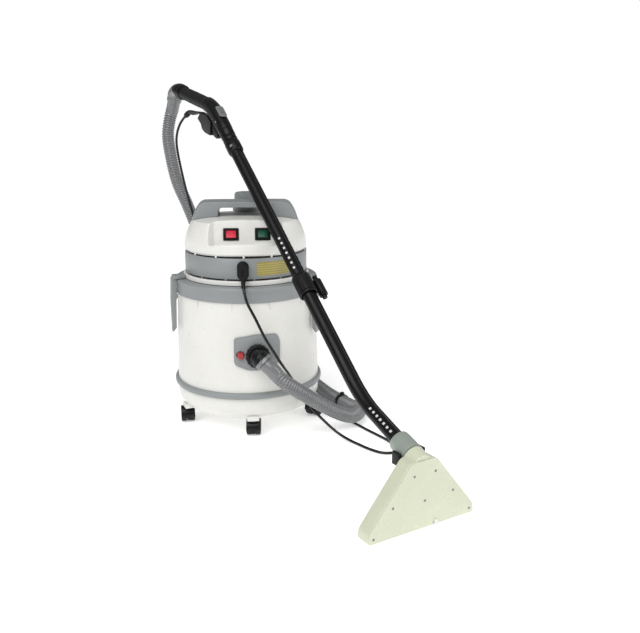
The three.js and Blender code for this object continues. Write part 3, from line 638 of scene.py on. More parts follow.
CASTER_YAWS = (180, 150, 100, 245, 192)
INLET_HEIGHT = 222
INLET_AT = INLET @ Matrix.Translation((0, 0, INLET_HEIGHT)) @ FRONT
BUTTON_AT = INLET @ Matrix.Translation((-42, 0, 223)) @ FRONT


def caster_place(index):
    angle = math.radians(DRUM_YAW + 72 * index)
    return CASTER_CIRCLE * math.sin(angle), -CASTER_CIRCLE * math.cos(angle)


def drum():
    """The drum with its caster bosses, inlet holes and the short ribs under its rim."""
    profile = [
        (0, 50), (168, 50), (171.5, 50.6), (178, 54), (184.6, 64), (188.4, 73.5), (189.4, 77),
        (189.7, 90), (190, 122), (186.8, 240), (183.7, 344), (183.5, 352), (183.5, 388),
        (180, 388), (180, 352), (186.5, 122), (185.9, 78), (175, 58), (166.5, 54), (0, 54),
    ]
    shell = turned("drum_shell", profile, MACHINE, 240, keep_sharp=26)
    holes = [
        rod("hole", 24, 150, 220,
               INLET_AT, 64),
        rod("hole", 9.8, 150, 220,
               BUTTON_AT, 48),
    ]
    for index in range(5):
        stem = place(0, *caster_place(index))
        holes.append(rod("hole", 5.2, 40, 52.3, stem, 32))
    combined(shell, *holes)
    extras = []
    for index in range(5):
        angle = DRUM_YAW + 72 * index
        boss = place(angle, *caster_place(index))
        body = block("boss", (-15.3, -9.8, 43.6), (15.3, 13.8, 55.8), boss)
        stem = rod("hole", 5.2, 40, 52.3, boss, 32)
        extras.append(bevelled(combined(body, stem), 1.2))
    for index in range(12):
        outline = [(-187.2, 352.9), (-183, 352.9), (-183.3, 331), (-184.6, 333), (-186.6, 349)]
        rib = side_solid("rib", outline, 1.3, place(-7 + 30 * index))
        extras.append(bevelled(rib, 0.5))
    shade(shell, 26)
    finish(joined("drum_shell", [shell, *extras]), WHITE, nodes="drum")


def bands():
    bumper = [
        (190.4, 105), (194, 105.3), (196.6, 106.6), (198, 109.4), (198.3, 113.5),
        (198, 117.6), (196.6, 120.4), (194, 121.7), (190.4, 122),
    ]
    finish(turned("bumper", bumper, MACHINE, 160), GREY, nodes="bumper_band")
    rim = [
        (183.8, 353), (186.6, 353), (187.5, 354), (187.5, 357.5), (187.1, 358), (187.1, 381),
        (187.5, 381.6), (187.5, 387.2), (186.6, 389.4), (184.4, 391), (151.5, 391), (150, 389.8),
        (150, 388.4), (183.8, 388.4),
    ]
    finish(turned("rim", rim, MACHINE, 160), GREY, nodes="rim_ring")


# ---- Casters -----------------------------------------------------------------------------------


def arc(centre, radius, start, end, steps=16):
    angles = [math.radians(start + (end - start) * i / steps) for i in range(steps + 1)]
    return [(centre[0] + radius * math.cos(a), centre[1] + radius * math.sin(a)) for a in angles]


def casters():
    wheel = [
        (0, -17.0), (2.6, -17.4), (3.6, -16.8), (10.5, -15.6), (12, -17.3), (16.6, -18),
        (19.2, -17.2), (20, -15.2), (20, -5.4), (19.2, -4.3), (4, -4.3), (4, 4.3), (19.2, 4.3),
        (20, 5.4), (20, 15.2), (19.2, 17.2), (16.6, 18), (12, 17.3), (10.5, 15.6), (3.6, 16.8),
        (2.6, 17.4), (0, 17.0),
    ]
    axle_centre = (-14, 20)
    for index, yaw in enumerate(CASTER_YAWS):
        matrix = place(yaw, *caster_place(index))
        number = index + 1
        cover = arc(axle_centre, 22.6, -8, 175, 28) + arc(axle_centre, 20.9, 175, -8, 28)
        web = arc(axle_centre, 21.6, 220, -40, 40)
        parts = [
            bevelled(side_solid("cover", cover, 18, matrix), 0.7, 2),
            bevelled(side_solid("web", web, 3.5, matrix), 0.6, 2),
            rod("neck", 4.8, 40, 52, matrix, 24),
            turned("collar", [(0, 39), (7.6, 39), (8, 39.6), (8, 42.8), (7.4, 43.2), (0, 43.2)],
                   matrix, 32),
        ]
        for side in (-1, 1):
            ridge = arc(axle_centre, 22.6, 8, 168, 28) + arc(axle_centre, 21.4, 168, 8, 28)
            parts.append(side_solid("ridge", ridge, 0.8, matrix, side * 12))
        hood = joined(f"caster_hood_{number}_fork", parts)
        finish(hood, BLACK, f"caster_{number}", f"caster_hood_{number}")
        axle = matrix @ Matrix.Translation((0, -14, 20)) @ Matrix.Rotation(math.pi / 2, 4, "Y")
        wheels = turned(f"caster_wheels_{number}_pair", wheel, axle, 56)
        finish(wheels, TREAD, f"wheels_{number}", f"caster_wheels_{number}")


# ---- Inlet -------------------------------------------------------------------------------------

PLATE_OUTLINE = [(-58, -30), (-22, -45), (18, -46), (58, -30), (60, 26), (52, 46), (0, 48),
                 (-57, 39)]


def drum_radius(z, offset):
    return 190 - 6.5 * (z - 122) / 230 + offset, z


def inlet_plate():
    """A plate that follows the drum, with a sloping border round a raised middle."""
    layers = []
    for size, offset in ((1.0, 4.4), (0.86, 7.0)):
        layer = turned(
            "layer",
            [drum_radius(150, 1), drum_radius(150, offset), drum_radius(300, offset),
             drum_radius(300, 1)],
            INLET, 240,
        )
        corners = [(x * size, y * size) for x, y in PLATE_OUTLINE]
        facing = INLET @ Matrix.Translation((0, 0, 227)) @ FRONT
        tool = outline_solid("outline", rounded_outline(corners, 9), 150, 215, facing)
        layers.append(combined(layer, tool, operation="INTERSECT"))
    plate = combined(layers[0], layers[1], operation="UNION")
    combined(
        plate,
        rod("hole", 22.4, 150, 220, INLET_AT, 72),
        rod("hole", 9.8, 150, 220, BUTTON_AT, 48),
    )
    moulded(plate, 0.8, 8)
    plate.name = "inlet_plate_moulding"
    finish(plate, GREY, nodes="inlet_plate")


def squircle(power, gain=1.0):
    def wobble(angle, r, z):
        total = abs(math.cos(angle)) ** power + abs(math.sin(angle)) ** power
        return r * gain * total ** (-1 / power)
    return wobble


def cuff():
    nut_profile = [
        (24.2, 197.5), (29.6, 197.5), (30.5, 198.6), (30.5, 208.8), (29.6, 210.6), (27.6, 212),
        (24.2, 212),
    ]

    def lobes(angle, r, z):
        wave = 0.5 + 0.5 * math.cos(16 * angle)
        return r if r < 29 or z > 211 else r - 1.3 * wave**3

    nut = turned("cuff_nut_ring", nut_profile, INLET_AT, 192, lobes)
    finish(nut, BLACK, "cuff", "cuff_nut")
    start = Vector((math.sin(math.radians(INLET_ANGLE)), -math.cos(math.radians(INLET_ANGLE)), 0))
    back = start * 197.5 + Vector((0, 0, INLET_HEIGHT))
    lip = start * 212 + Vector((0, 0, INLET_HEIGHT))
    end = Vector((62, -227, 213))
    leaves = Vector((19, -7, -17)).normalized()
    controls = (lip, lip + start * 11, end - leaves * 11, end)
    path = [back.lerp(lip, t / 5) for t in range(5)]
    for step in range(31):
        t = step / 30
        weights = ((1 - t) ** 3, 3 * t * (1 - t) ** 2, 3 * t * t * (1 - t), t**3)
        path.append(sum((c * w for c, w in zip(controls, weights)), Vector((0, 0, 0))))

    def section(i):
        share = i / (len(path) - 1)
        radius = 22.8 if share < 0.15 else 23.4
        if share > 0.42:
            radius = 22.6 + 0.85 * (0.5 + 0.5 * math.cos((share - 0.42) * 5.2 * 2 * math.pi))
        return circle(radius, 56)

    elbow = swept("hose_elbow_end", path, section, MACHINE, (0, 0, 1), keep_sharp=60)
    finish(elbow, BLACK, nodes="hose_elbow")
    elbow.data.materials.append(HOSE)
    outer = lip.lerp(end, 0.6)
    for face in elbow.data.polygons:
        reach = elbow.matrix_world @ face.center - point(MACHINE, *outer)
        if reach.dot(leaves) > 0:
            face.material_index = 1


def inlet_button():
    profile = [
        (0, 178.5), (9, 178.5), (9, 196.4), (8.4, 198.2), (7.2, 199.3), (5.6, 199.8), (3, 199.3),
        (0, 199.1),
    ]
    button = turned("inlet_button_cap", profile, BUTTON_AT, 96, squircle(3.2, 0.9))
    finish(button, BUTTON_RED, "button", "inlet_button")


# ---- Latches -----------------------------------------------------------------------------------


def latches():
    lever = [
        (-190, 397), (-190, 352), (-185.4, 350), (-185.4, 345.4), (-191.2, 338), (-193.6, 262),
        (-203.8, 250.6), (-204.4, 340), (-202, 394), (-197, 399.4), (-193, 400.4), (-190.7, 399.4),
    ]
    for side, yaw in (("left", -70), ("right", 68)):
        matrix = place(yaw)
        mount = block("mount", (-13.9, -197.9, 392.4), (13.9, -165.4, 401.9), matrix)
        room = block("room", (-9.5, -220, 380), (9.5, -189, 420), matrix)
        mount = bevelled(combined(mount, room), 1.4)
        mount.name = f"latch_mount_{side}_arm"
        finish(mount, GREY, nodes=f"latch_mount_{side}")
        arm = side_solid("arm", rounded_outline(lever, 2.5, 4), 9, matrix)
        panel = block("panel", (-6, -206, 268), (6, -203.7, 335), matrix)
        arm = bevelled(combined(arm, panel), 1.0)
        across = matrix @ Matrix.Translation((0, -193, 397)) @ Matrix.Rotation(
            math.pi / 2, 4, "Y")
        pin = rod("pin", 2, -13.4, 13.4, across, 24)
        finish(joined(f"latch_lever_{side}_arm", [arm, pin]), GREY, f"latch_{side}",
               f"latch_lever_{side}")


# ---- Motor head --------------------------------------------------------------------------------

PANEL = (
    HEAD
    @ Matrix.Translation((5, -109, 524))
    @ Matrix.Rotation(math.radians(-13), 4, "X")
)
SWITCHES = (("vacuum", -39, RED, "red_lens"), ("pump", 40, GREEN, "green_lens"))
SWITCH_Z = -10.5


def through(points, steps):
    """Points on a smooth curve through the given ones."""
    p = [Vector(v) for v in points]
    p = [2 * p[0] - p[1], *p, 2 * p[-1] - p[-2]]
    curve = []
    for a, b, c, d in zip(p, p[1:], p[2:], p[3:]):
        for step in range(steps):
            t = step / steps
            curve.append(0.5 * (2 * b + (c - a) * t + (2 * a - 5 * b + 4 * c - d) * t**2
                                + (3 * b - a - 3 * c + d) * t**3))
    return [*curve, p[-2]]


def eased(profile, steps=5):
    """A turned profile made smooth."""
    return [(max(0.0, v.x), v.y) for v in through(profile, steps)]


def cap_square(angle, r, z):
    """The cap's plan turns from round at its foot to a rounded square at its shoulder."""
    power = 2 + 0.5 * min(1, max(0, (z - 460) / 83))
    total = abs(math.cos(angle)) ** power + abs(math.sin(angle)) ** power
    return r * total ** (-1 / power)


CAP_SIDE = [(160, 467.5), (159, 485), (154.5, 504), (146.5, 524), (138.5, 538), (131, 543.5),
            (80, 550), (0, 551)]


def seam_tabs(first, low, high, half):
    """Small tabs that cross a seam of the head, evenly spaced all round."""
    return [
        bevelled(
            block("tab", (-half, *low), (half, *high), place(HEAD_YAW + 25.7 * index + first)),
            0.5, 2,
        )
        for index in range(14)
    ]


def head_cap():
    profile = [(0, 460.4), (156.5, 460.4), (156.5, 466.6), *eased(CAP_SIDE)]
    cap = turned("cap", profile, HEAD, 160, cap_square)
    cavity = [(0, 455), (101, 455), (101, 500), (92, 530), (78, 541), (0, 544)]
    trapezoid = [(-81, 0), (81, 0), (135, -60), (-135, -60)]
    cutters = [
        turned("cavity", cavity, HEAD, 64),
        outline_solid("recess", trapezoid, -40, 60, PANEL),
    ]
    for _, x, _, _ in SWITCHES:
        low = (x - 16.3, -5, SWITCH_Z - 12.8)
        high = (x + 16.3, 14, SWITCH_Z + 12.8)
        cutters.append(block("hole", low, high, PANEL))
    combined(cap, *cutters)
    moulded(cap, 1.5, 7)
    parts = [cap, *seam_tabs(-1, (-159.3, 460.4), (-155, 468), 2.4)]
    for x, y, z, tip, turn in ((-104.7, -78.9, 540.6, 14, -38), (112.6, -78.9, 535.4, 24, 38)):
        seat = (HEAD @ Matrix.Translation((x, y, z)) @ Matrix.Rotation(math.radians(turn), 4, "Z")
                @ Matrix.Rotation(math.radians(tip), 4, "X"))
        parts.append(screw("cap screw", seat, 4.2))
    finish(joined("head_cap_moulding", parts), WHITE, nodes="head_cap")


def head_rings():
    lid = [
        (16, 392.1), (163.4, 392.1), (165, 393.4), (165, 402.3), (163.6, 404), (158, 404),
        (156, 402.6), (156, 399), (16, 399),
    ]
    shell = turned("head_lid_plate", lid, HEAD, 160)
    pickup = HEAD @ Matrix.Translation((-105, 60, 0))
    combined(shell, rod("hole", 7, 380, 410, pickup, 32))
    shade(shell)
    finish(shell, WHITE, nodes="head_lid")
    # Thin black rings sit in the two seams as painted shade for their dark gaps.
    for radius, low, high in ((158.3, 404.3, 407.9), (157.2, 460.1, 466.4)):
        gap_shade_profile = [(radius - 0.6, low), (radius, low), (radius, high), (radius - 0.6, high)]
        gap_shade_ring = turned(f"seam_shade_ring_{low:.0f}", gap_shade_profile, HEAD, 128)
        finish(gap_shade_ring, BLACK, "machine")
    band = [
        (155.6, 404.4), (157.6, 404.4), (157.6, 408), (159.4, 408.4), (160, 409.2), (160, 458.6),
        (159.2, 459.8), (155.6, 459.9),
    ]
    shell = turned("band", band, HEAD, 160)
    gland = place(HEAD_YAW + 205) @ Matrix.Translation((0, 0, 430)) @ FRONT
    combined(shell, rod("hole", 8, 140, 175, gland, 32))
    shade(shell)
    parts = [shell, *seam_tabs(8, (-159.6, 404.4), (-156, 409), 2.2)]
    finish(joined("head_band_ring", parts), GREY, nodes="head_band")


def carry_handle():
    side = [(138.9, 538.6), (135, 549), (130.6, 561), (121, 578), (111, 585.8), (92, 587.6),
            (0, 588)]
    floor = [(0, 551.5), (80, 550.5), (131.2, 544)]
    saddle = turned("saddle", floor + eased(side), HEAD, 160, cap_square)
    across = block("across", (-140, -50, 530), (140, 30, 600), HEAD)
    combined(saddle, across, operation="INTERSECT")
    facing = HEAD @ Matrix.Translation((-10, 0, 552)) @ FRONT
    opening = outline_solid("gap", rounded_rectangle(116, 42, 12, 10), -60, 60, facing)
    combined(saddle, opening)
    moulded(saddle, 1.2, 10)
    saddle.name = "carry_handle_moulding"
    finish(saddle, GREY, nodes="carry_handle")


def filler_cap():
    def knurl(angle, r, z):
        wave = 0.5 + 0.5 * math.cos(30 * angle)
        return r - 0.9 * wave**2 if r > 26 and z > 572 and z < 596.5 else r

    profile = [
        (0, 551.8), (36.2, 551.8), (37, 552.6), (37, 564.4), (36, 566.4), (33.6, 569.4),
        (33, 571.5), (33, 573.5), (31.6, 595), (30.6, 598.6), (27.4, 601), (22, 601.6),
        (20, 600.8), (18, 601.2), (0, 602.4),
    ]
    at = HEAD @ Matrix.Translation((2, 78, 0))
    cap = turned("filler_cap_moulding", profile, at, 180, knurl)
    finish(cap, GREY, "filler", "filler_cap")


def switches():
    for use, x, lens, slot in SWITCHES:
        at = PANEL @ Matrix.Translation((x, 0, SWITCH_Z))
        flange = outline_solid("flange", rounded_rectangle(39, 31, 2.5), 0.4, 2.6, at @ FRONT)
        body = block("body", (-16, -1.4, -12.5), (16, 10, 12.5), at)
        well = block("well", (-13.2, -12, -10.2), (13.2, 8, 10.2), at)
        frame_piece = combined(flange, body, operation="UNION")
        combined(frame_piece, well)
        bevelled(frame_piece, 0.6)
        frame_piece.name = f"switch_bezel_{use}_frame"
        finish(frame_piece, BLACK, nodes=f"switch_bezel_{use}")
        face = [(4.5, -6), (4.5, 6), (-1, 9.3), (-3.5, 9.3)]
        face += [(-3.5 + 1.15 * (1 - (z / 9.3) ** 2), z) for z in (7, 4.5, 2, 0, -2, -4.5, -7)]
        face += [(-3.5, -9.3), (-1, -9.3)]
        tipped = PANEL @ Matrix.Translation((x, 1, SWITCH_Z)) @ Matrix.Rotation(
            math.radians(-10), 4, "X")
        lens_piece = bevelled(side_solid("lens", face, 12.4, tipped), 0.6)
        ring = outline_solid("mark", rounded_rectangle(9, 1.4, 0.6), 2.2, 2.75, tipped
                             @ Matrix.Translation((0, 0, 4.6)) @ FRONT)
        finish(joined(f"switch_rocker_{use}_lens", [lens_piece, ring]), lens, f"switch_{use}",
               f"switch_rocker_{use}")


def line_elbow():
    at = HEAD @ Matrix.Translation((-5, 0, 431.5)) @ FRONT
    foot = outline_solid("foot", rounded_rectangle(29, 47, 14, 10), 160.6, 171, at)
    hump = outline_solid("hump", rounded_rectangle(21, 39, 9, 10), 168, 181, at)
    hood = combined(foot, hump, operation="UNION")
    slot = outline_solid("slot", rounded_rectangle(5, 16, 2.4, 6), 178.6, 190,
                         at @ Matrix.Translation((0, -3, 0)))
    combined(hood, slot)
    moulded(hood, 0.6, 12)
    path = smooth_route(LINE_ROUTE[:5], LINE_RADIUS, 2)[0][:12]
    relief = swept("relief", path, lambda i: circle(6.2 - 0.17 * i, 24), MACHINE, (1, 0, 0))
    finish(joined("line_elbow_hood", [hood, relief]), BLACK, nodes="line_elbow")


def label_panel():
    """A thin plain label with rounded corners, bent round the band."""
    bm = bmesh.new()
    low, high = 416.4, 450.6
    start, end = math.radians(10.3), math.radians(42.7)
    columns, rows = 48, 24
    corner = 4 / 160.6
    layers = []
    for radius in (160.4, 161.1):
        grid = []
        for i in range(columns + 1):
            angle = start + (end - start) * i / columns
            near = max(0.0, corner - min(angle - start, end - angle))
            trim = 4 * (1 - math.sqrt(max(0.0, 1 - (near / corner) ** 2)))
            grid.append([
                bm.verts.new((
                    radius * math.sin(angle),
                    -radius * math.cos(angle),
                    low + trim + (high - low - 2 * trim) * k / rows,
                ))
                for k in range(rows + 1)
            ])
        layers.append(grid)
    inner, outer = layers
    for i in range(columns):
        for k in range(rows):
            for grid in layers:
                bm.faces.new((grid[i][k], grid[i + 1][k], grid[i + 1][k + 1], grid[i][k + 1]))
        for k in (0, rows):
            bm.faces.new((inner[i][k], inner[i + 1][k], outer[i + 1][k], outer[i][k]))
    for i in (0, columns):
        for k in range(rows):
            bm.faces.new((inner[i][k], inner[i][k + 1], outer[i][k + 1], outer[i][k]))
    finish(to_object("label_plate", bm, HEAD), LABEL, nodes="label_panel")


def mains_gland():
    profile = [
        (3.5, 150), (7.6, 150), (7.6, 160.4), (11.6, 160.4), (12, 161), (12, 166), (11, 167.4),
        (9, 168), (8.6, 170), (7.8, 170.6), (8, 172), (7.2, 172.6), (7.4, 174), (6.6, 174.6),
        (6.6, 177), (6, 178), (3.5, 178),
    ]
    at = place(HEAD_YAW + 205) @ Matrix.Translation((0, 0, 430)) @ FRONT
    finish(turned("mains_gland_body", profile, at, 48), BLACK, nodes="mains_gland")


# ---- Wand --------------------------------------------------------------------------------------

RUN_ANGLE = math.radians(40.62)
RUN_FOOT = (264.8, 265.8)
COLLAR_ANGLE = math.radians(19.8)
TOOL_FRONT = -TOOL_DEPTH / 2


def on_run(along, rise=0.0):
    return (
        RUN_FOOT[0] + along * math.cos(RUN_ANGLE) - rise * math.sin(RUN_ANGLE),
        RUN_FOOT[1] + along * math.sin(RUN_ANGLE) + rise * math.cos(RUN_ANGLE),
    )


def run_matrix(along, across=0.0, rise=0.0):
    """A frame on the long straight run: +Z along it, +X across and -Y upward from it."""
    y, z = on_run(along, rise)
    return WAND @ Matrix.Translation((across, y, z)) @ Matrix.Rotation(
        -(math.pi / 2 - RUN_ANGLE), 4, "X")


def collar_matrix(distance):
    return WAND @ Matrix.Translation((
        0,
        11.6 + distance * math.cos(COLLAR_ANGLE),
        139.9 + distance * math.sin(COLLAR_ANGLE),
    )) @ Matrix.Rotation(-(math.pi / 2 - COLLAR_ANGLE), 4, "X")


def tool_outline(inset=0.0):
    foot = 134.5 - inset
    neck = 31 - inset
    top = 146 - inset
    corners = [(-foot, 0), (foot, 0), (foot - 2.5, 20), (neck, top), (-neck, top),
               (-foot + 2.5, 20)]
    return rounded_outline(corners, [11, 11, 16, 7, 7, 16], 8)


def tool_body():
    back = TOOL_DEPTH / 2
    facing = WAND @ FRONT
    slab = outline_solid("slab", tool_outline(), -back, 16.8, facing)
    bevelled(slab, 2.6, 4)
    hollow_corners = [(-134.5, -5), (134.5, -5), (27, 142), (-27, 142)]
    hollow = outline_solid("hollow", hollow_corners, -back + 4, 30, facing)
    neck_low = turned("neck", [(0, -30), (23.8, -30), (23.8, 9), (23, 9.6), (0, 9.6)],
                      collar_matrix(0), 72)
    room = block("room", (-40, -16.6, 100), (40, 60, 200), WAND)
    combined(neck_low, room, operation="INTERSECT")
    bore = rod("bore", 16, -22, 30, collar_matrix(0), 64)
    combined(slab, neck_low, operation="UNION")
    combined(slab, hollow, bore)
    moulded(slab, 1.5, 5)
    slab.name = "tool_body_moulding"
    finish(slab, CREAM, "wand", "tool_body")


def tool_cover():
    facing = WAND @ FRONT
    plate = outline_solid("plate", tool_outline(), 17, 20, facing)
    bevelled(plate, 1.1, 3)
    notch = outline_solid("notch", rounded_rectangle(15, 10, 3, 4), 15, 25,
                          facing @ Matrix.Translation((33, 3, 0)))
    combined(plate, notch)
    shade(plate, 40)
    plate.name = "tool_cover_plate"
    finish(plate, CREAM, "wand", "tool_cover")
    screws = []
    for x, z in ((-25, 118), (28, 118), (-76.5, 64), (76, 64), (-122, 10.6), (122, 10.6),
                 (3, 60)):
        seat = WAND @ Matrix.Translation((x, TOOL_FRONT + 0.3, z)) @ FRONT
        screws.append(screw("tool screw", seat, 3.2))
    finish(joined("tool_screws", screws), STEEL, "wand")


def tool_collar():
    profile = [
        (19.4, 10.1), (25, 10.1), (24.7, 20), (24.3, 34), (24, 44), (23.7, 52.6), (22.9, 56.4),
        (21.8, 58), (19.4, 58),
    ]
    ring = turned("tool_collar_ring", profile, collar_matrix(0), 96)
    combined(ring, block("shoulder", (-40, -40, 90), (40, 20.3, 146.3), WAND))
    finish(ring, COLLAR, "wand", "tool_collar")


def jet_yoke():
    parts = [bevelled(block("strap", (-30, 20.5, 106), (30, 23.4, 114), WAND), 0.8)]
    for side in (-1, 1):
        left, right = sorted((side * 26.6, side * 34))
        parts.append(bevelled(block("buckle", (left, 20.5, 124), (right, 44, 152), WAND), 2, 4))
        parts.append(bevelled(block("arm", (left, 20.5, 106), (right, 26, 126), WAND), 1.2))
        knob = WAND @ Matrix.Translation((0, 34, 138)) @ Matrix.Rotation(math.pi / 2, 4, "Y")
        ends = (26.8, 33.9) if side > 0 else (-33.9, -26.8)
        parts.append(rod("rivet", 4, ends[0], ends[1],
                            knob, 32))
    finish(joined("jet_yoke_clips", parts), BLACK, "wand", "jet_yoke")


def spray_jet():
    at = WAND @ Matrix.Translation((33, TOOL_FRONT - 0.3, 7.5)) @ FRONT
    profile = [(0, 0), (4.6, 0), (5, 0.6), (5, 3.2), (3.6, 4), (3.2, 5.6), (2.2, 6), (1, 5.4),
               (0, 5.4)]
    finish(turned("spray_jet_nozzle", profile, at, 40), WHITE, "wand", "spray_jet")


def tube_section(grow=0.0, steps=26):
    """The main bore on the left and the narrower duct of the solution pipe on the right."""
    main, duct, spread = 14.5, 8.5, 12.5
    along = (spread**2 + main**2 - duct**2) / (2 * spread)
    half = math.sqrt(main**2 - along**2)
    start = math.degrees(math.atan2(half, along))
    duct_start = math.degrees(math.atan2(half, along - spread))
    shape = arc((-2.5, 0), main + grow, start, 360 - start, steps * 2)
    shape += arc((10, 0), duct + grow, -duct_start, duct_start, steps)[1:-1]
    return shape


def lower_path():
    start = Vector((0, 47.6, 152.9))
    bend_in = Vector((0, 150, 189.7))
    corner = Vector((0, 193.4, 204.5))
    bend_out = Vector((0, *on_run(-36)))
    path = [start.lerp(bend_in, i / 6) for i in range(6)]
    path += pulled(bend_in, corner, bend_out, 16)
    path += [bend_out.lerp(Vector((0, *on_run(235.7))), i / 8) for i in range(1, 9)]
    return path


def insets(name, material, outline, low, high, bevel, spots):
    """Small raised marks on a tube's skin, one at each matrix, whose +Z points outward."""
    made = [bevelled(outline_solid("inset", outline, low, high, spot), bevel, 2)
            for spot in spots]
    finish(joined(name, made), material, "wand")


def facing_matrix(y, z, slope, phi, radius=14.5, across=-2.5):
    """On a tube's skin at an angle phi from +X towards up, with +Z outward."""
    turn = math.radians(phi)
    tube = WAND @ Matrix.Translation((across, y, z)) @ Matrix.Rotation(slope, 4, "X")
    outward = Matrix.Rotation(math.pi / 2 - turn, 4, "Y")
    return tube @ outward @ Matrix.Translation((0, 0, radius))


def wand_tubes():
    sideways = (1, 0, 0)
    lower = swept("lower_tube_pipe", lower_path(), tube_section(), WAND, sideways, keep_sharp=50)
    finish(lower, BLACK, "wand", "lower_tube")
    run = [Vector((0, *on_run(236 + (675 - 236) * i / 10))) for i in range(11)]
    upper = swept("upper_tube_pipe", run, tube_section(), WAND, sideways, keep_sharp=50)
    finish(upper, BLACK, "wand", "upper_tube")
    spots = []
    dashes = []
    for i in range(7):
        y, z = on_run(276 + 15.4 * i)
        spots.append(facing_matrix(y, z, RUN_ANGLE, 128))
        y, z = on_run(268 + 16 * i)
        dashes.append(facing_matrix(y, z, RUN_ANGLE, 62, 8.5, 10))
    # The raised pips are painted pale and the dashes grey, as painted highlights on the tubes'
    # ribs.
    square = rounded_rectangle(5.6, 5.6, 1.2, 4)
    insets("upper_pips", PIP_PAINTED_HIGHLIGHT, square, -0.8, 0.55, 0.25, spots)
    low = []
    start, bend = Vector((47.6, 152.9)), Vector((150, 189.7))
    slope = math.atan2(bend.y - start.y, bend.x - start.x)
    for i in range(7):
        spot = start.lerp(bend, 0.34 + 0.118 * i)
        low.append(facing_matrix(spot.x, spot.y, slope, 128))
        dashes.append(facing_matrix(spot.x, spot.y, slope, 62, 8.5, 10))
    insets("lower_pips", PIP_PAINTED_HIGHLIGHT, square, -0.8, 0.55, 0.25, low)
    dash = rounded_rectangle(1.8, 8, 0.8, 3)
    insets("duct_dashes", SLIDER, dash, -0.6, 0.35, 0.15, dashes)


def ringed(low, high, outer, depth, pitch):
    """Points up a wall that is cut by shallow rings."""
    points = []
    count = int((high - low) / pitch)
    for i in range(count):
        z = low + i * pitch
        points += [(outer - depth, z), (outer, z + 0.25 * pitch), (outer, z + 0.65 * pitch),
                   (outer - depth, z + 0.9 * pitch)]
    return points


def couplings():
    nut = [(19.2, 0), (21.4, 0), (22.4, 1), (22.6, 5)]
    nut += ringed(7, 49, 22.6, 1.3, 4.2)
    nut += [(22.4, 50.5), (21.8, 53.5), (20.6, 56), (19.2, 56)]

    def grips(angle, r, z):
        return r - 0.5 * (0.5 + 0.5 * math.cos(24 * angle)) if r > 21 and 5 < z < 50 else r

    finish(turned("coupling_nut_ring", nut, run_matrix(200), 144, grips), BLACK, "coupling",
           "coupling_nut")
    joint = [(0, -8), (5.4, -8), (6, -7.4), (6, 0), (9.6, 0), (10.8, 1), (11, 3)]
    joint += ringed(5, 43, 11, 1.2, 3.8)
    joint += [(10.6, 44.4), (9, 46), (6.4, 49), (6, 50.4), (6, 57.4), (5.4, 58), (0, 58)]
    finish(turned("solution_coupler_body", joint, run_matrix(190, 34.5, 4), 72), BLACK, "wand",
           "solution_coupler")


def handle_sleeve():
    sleeve = [
        (0, 0), (17, 0), (17.6, 0.6), (19.2, 4.4), (20.5, 8.4), (20.5, 35.4), (20, 36.8),
        (18.8, 40), (18.8, 46), (19.5, 47), (19.5, 50), (18.9, 51), (18.9, 62), (19.6, 63.4),
        (19.6, 80.4), (19, 81), (0, 81),
    ]
    finish(turned("handle_sleeve_body", sleeve, run_matrix(675.3), 96), BLACK, "wand",
           "handle_sleeve")
    button = facing_matrix(*on_run(691), RUN_ANGLE, 140, 19.4, 0)
    dot = turned("sleeve_button", [(0, -1.5), (4.4, -1.5), (4.4, 0.7), (3.8, 1.2), (0, 1.3)],
                 button, 40)
    finish(dot, SLIDER, "wand")


def handle_body():
    before = Vector((0, *on_run(812)))
    corner = Vector((0, 917, 824))
    start = Vector((0, 951, 831))
    path = [Vector((0, *on_run(757 + 55 * i / 6))) for i in range(6)]
    path += pulled(before, corner, start, 18)

    def body_section(i):
        share = i / (len(path) - 1)
        radius = 20.5 if 0.03 < share < 0.985 else 19.6
        shape = []
        for a in range(72):
            angle = 2 * math.pi * a / 72
            side = max(0.0, abs(math.cos(angle)) - 0.94) / 0.06
            groove = 1.1 * side if 0.05 < share < 0.93 else 0
            r = radius - groove
            shape.append((r * math.cos(angle), r * math.sin(angle)))
        return shape

    body = swept("handle_body_shell", path, body_section, WAND, (1, 0, 0), keep_sharp=45)
    finish(body, BLACK, "wand", "handle_body")
    screw_at = facing_matrix(*on_run(792), RUN_ANGLE, 168, 19.9, 0)
    finish(screw("handle_screw", screw_at, 3), STEEL, "wand")


def grip():
    grip_start = Vector((0, 951.3, 831.06))
    grip_end = Vector((0, 1112, 863.5))
    count = 84
    grip_path = [grip_start.lerp(grip_end, i / count) for i in range(count + 1)]

    def grip_section(i):
        share = i / count
        radius = 17.6 + 0.9 * math.sin(math.pi * min(1, max(0, share))) ** 0.5
        if i % 4 == 0 and 0.08 < share < 0.94:
            radius -= 0.55
        if share < 0.02 or share > 0.985:
            radius = 18.4
        return circle(min(radius, 18.5), 64)

    cover = swept("grip_cover", grip_path, grip_section, WAND, (1, 0, 0), keep_sharp=50)
    finish(cover, BLACK_TEXTURED, "wand", "grip")


def end_cuff():
    """The bend at the hose's upper end: black at the grip, and hose-coloured past its turn."""
    bend = ((0, 1112.4, 863.6), (0, 1148, 870.5), (0, 1180, 864), (0, 1194, 842))
    cuff_path = through(bend, 12)

    def cuff_section(i):
        share = i / (len(cuff_path) - 1)
        radius = 21.5
        if share < 0.04:
            radius = 20
        elif 0.12 < share < 0.17 or 0.80 < share < 0.84:
            radius = 20.4
        elif share > 0.98:
            radius = 20.6
        return circle(radius, 64)

    end = swept("end_cuff_shell", cuff_path, cuff_section, WAND, (1, 0, 0), keep_sharp=45)
    finish(end, BLACK, "wand", "end_cuff")
    end.data.materials.append(HOSE)
    turn = point(WAND, 0, 1152, 870)
    downward = point(WAND, 0, 1180, 846) - turn
    for face in end.data.polygons:
        if (end.matrix_world @ face.center - turn).dot(downward) > 0:
            face.material_index = 1


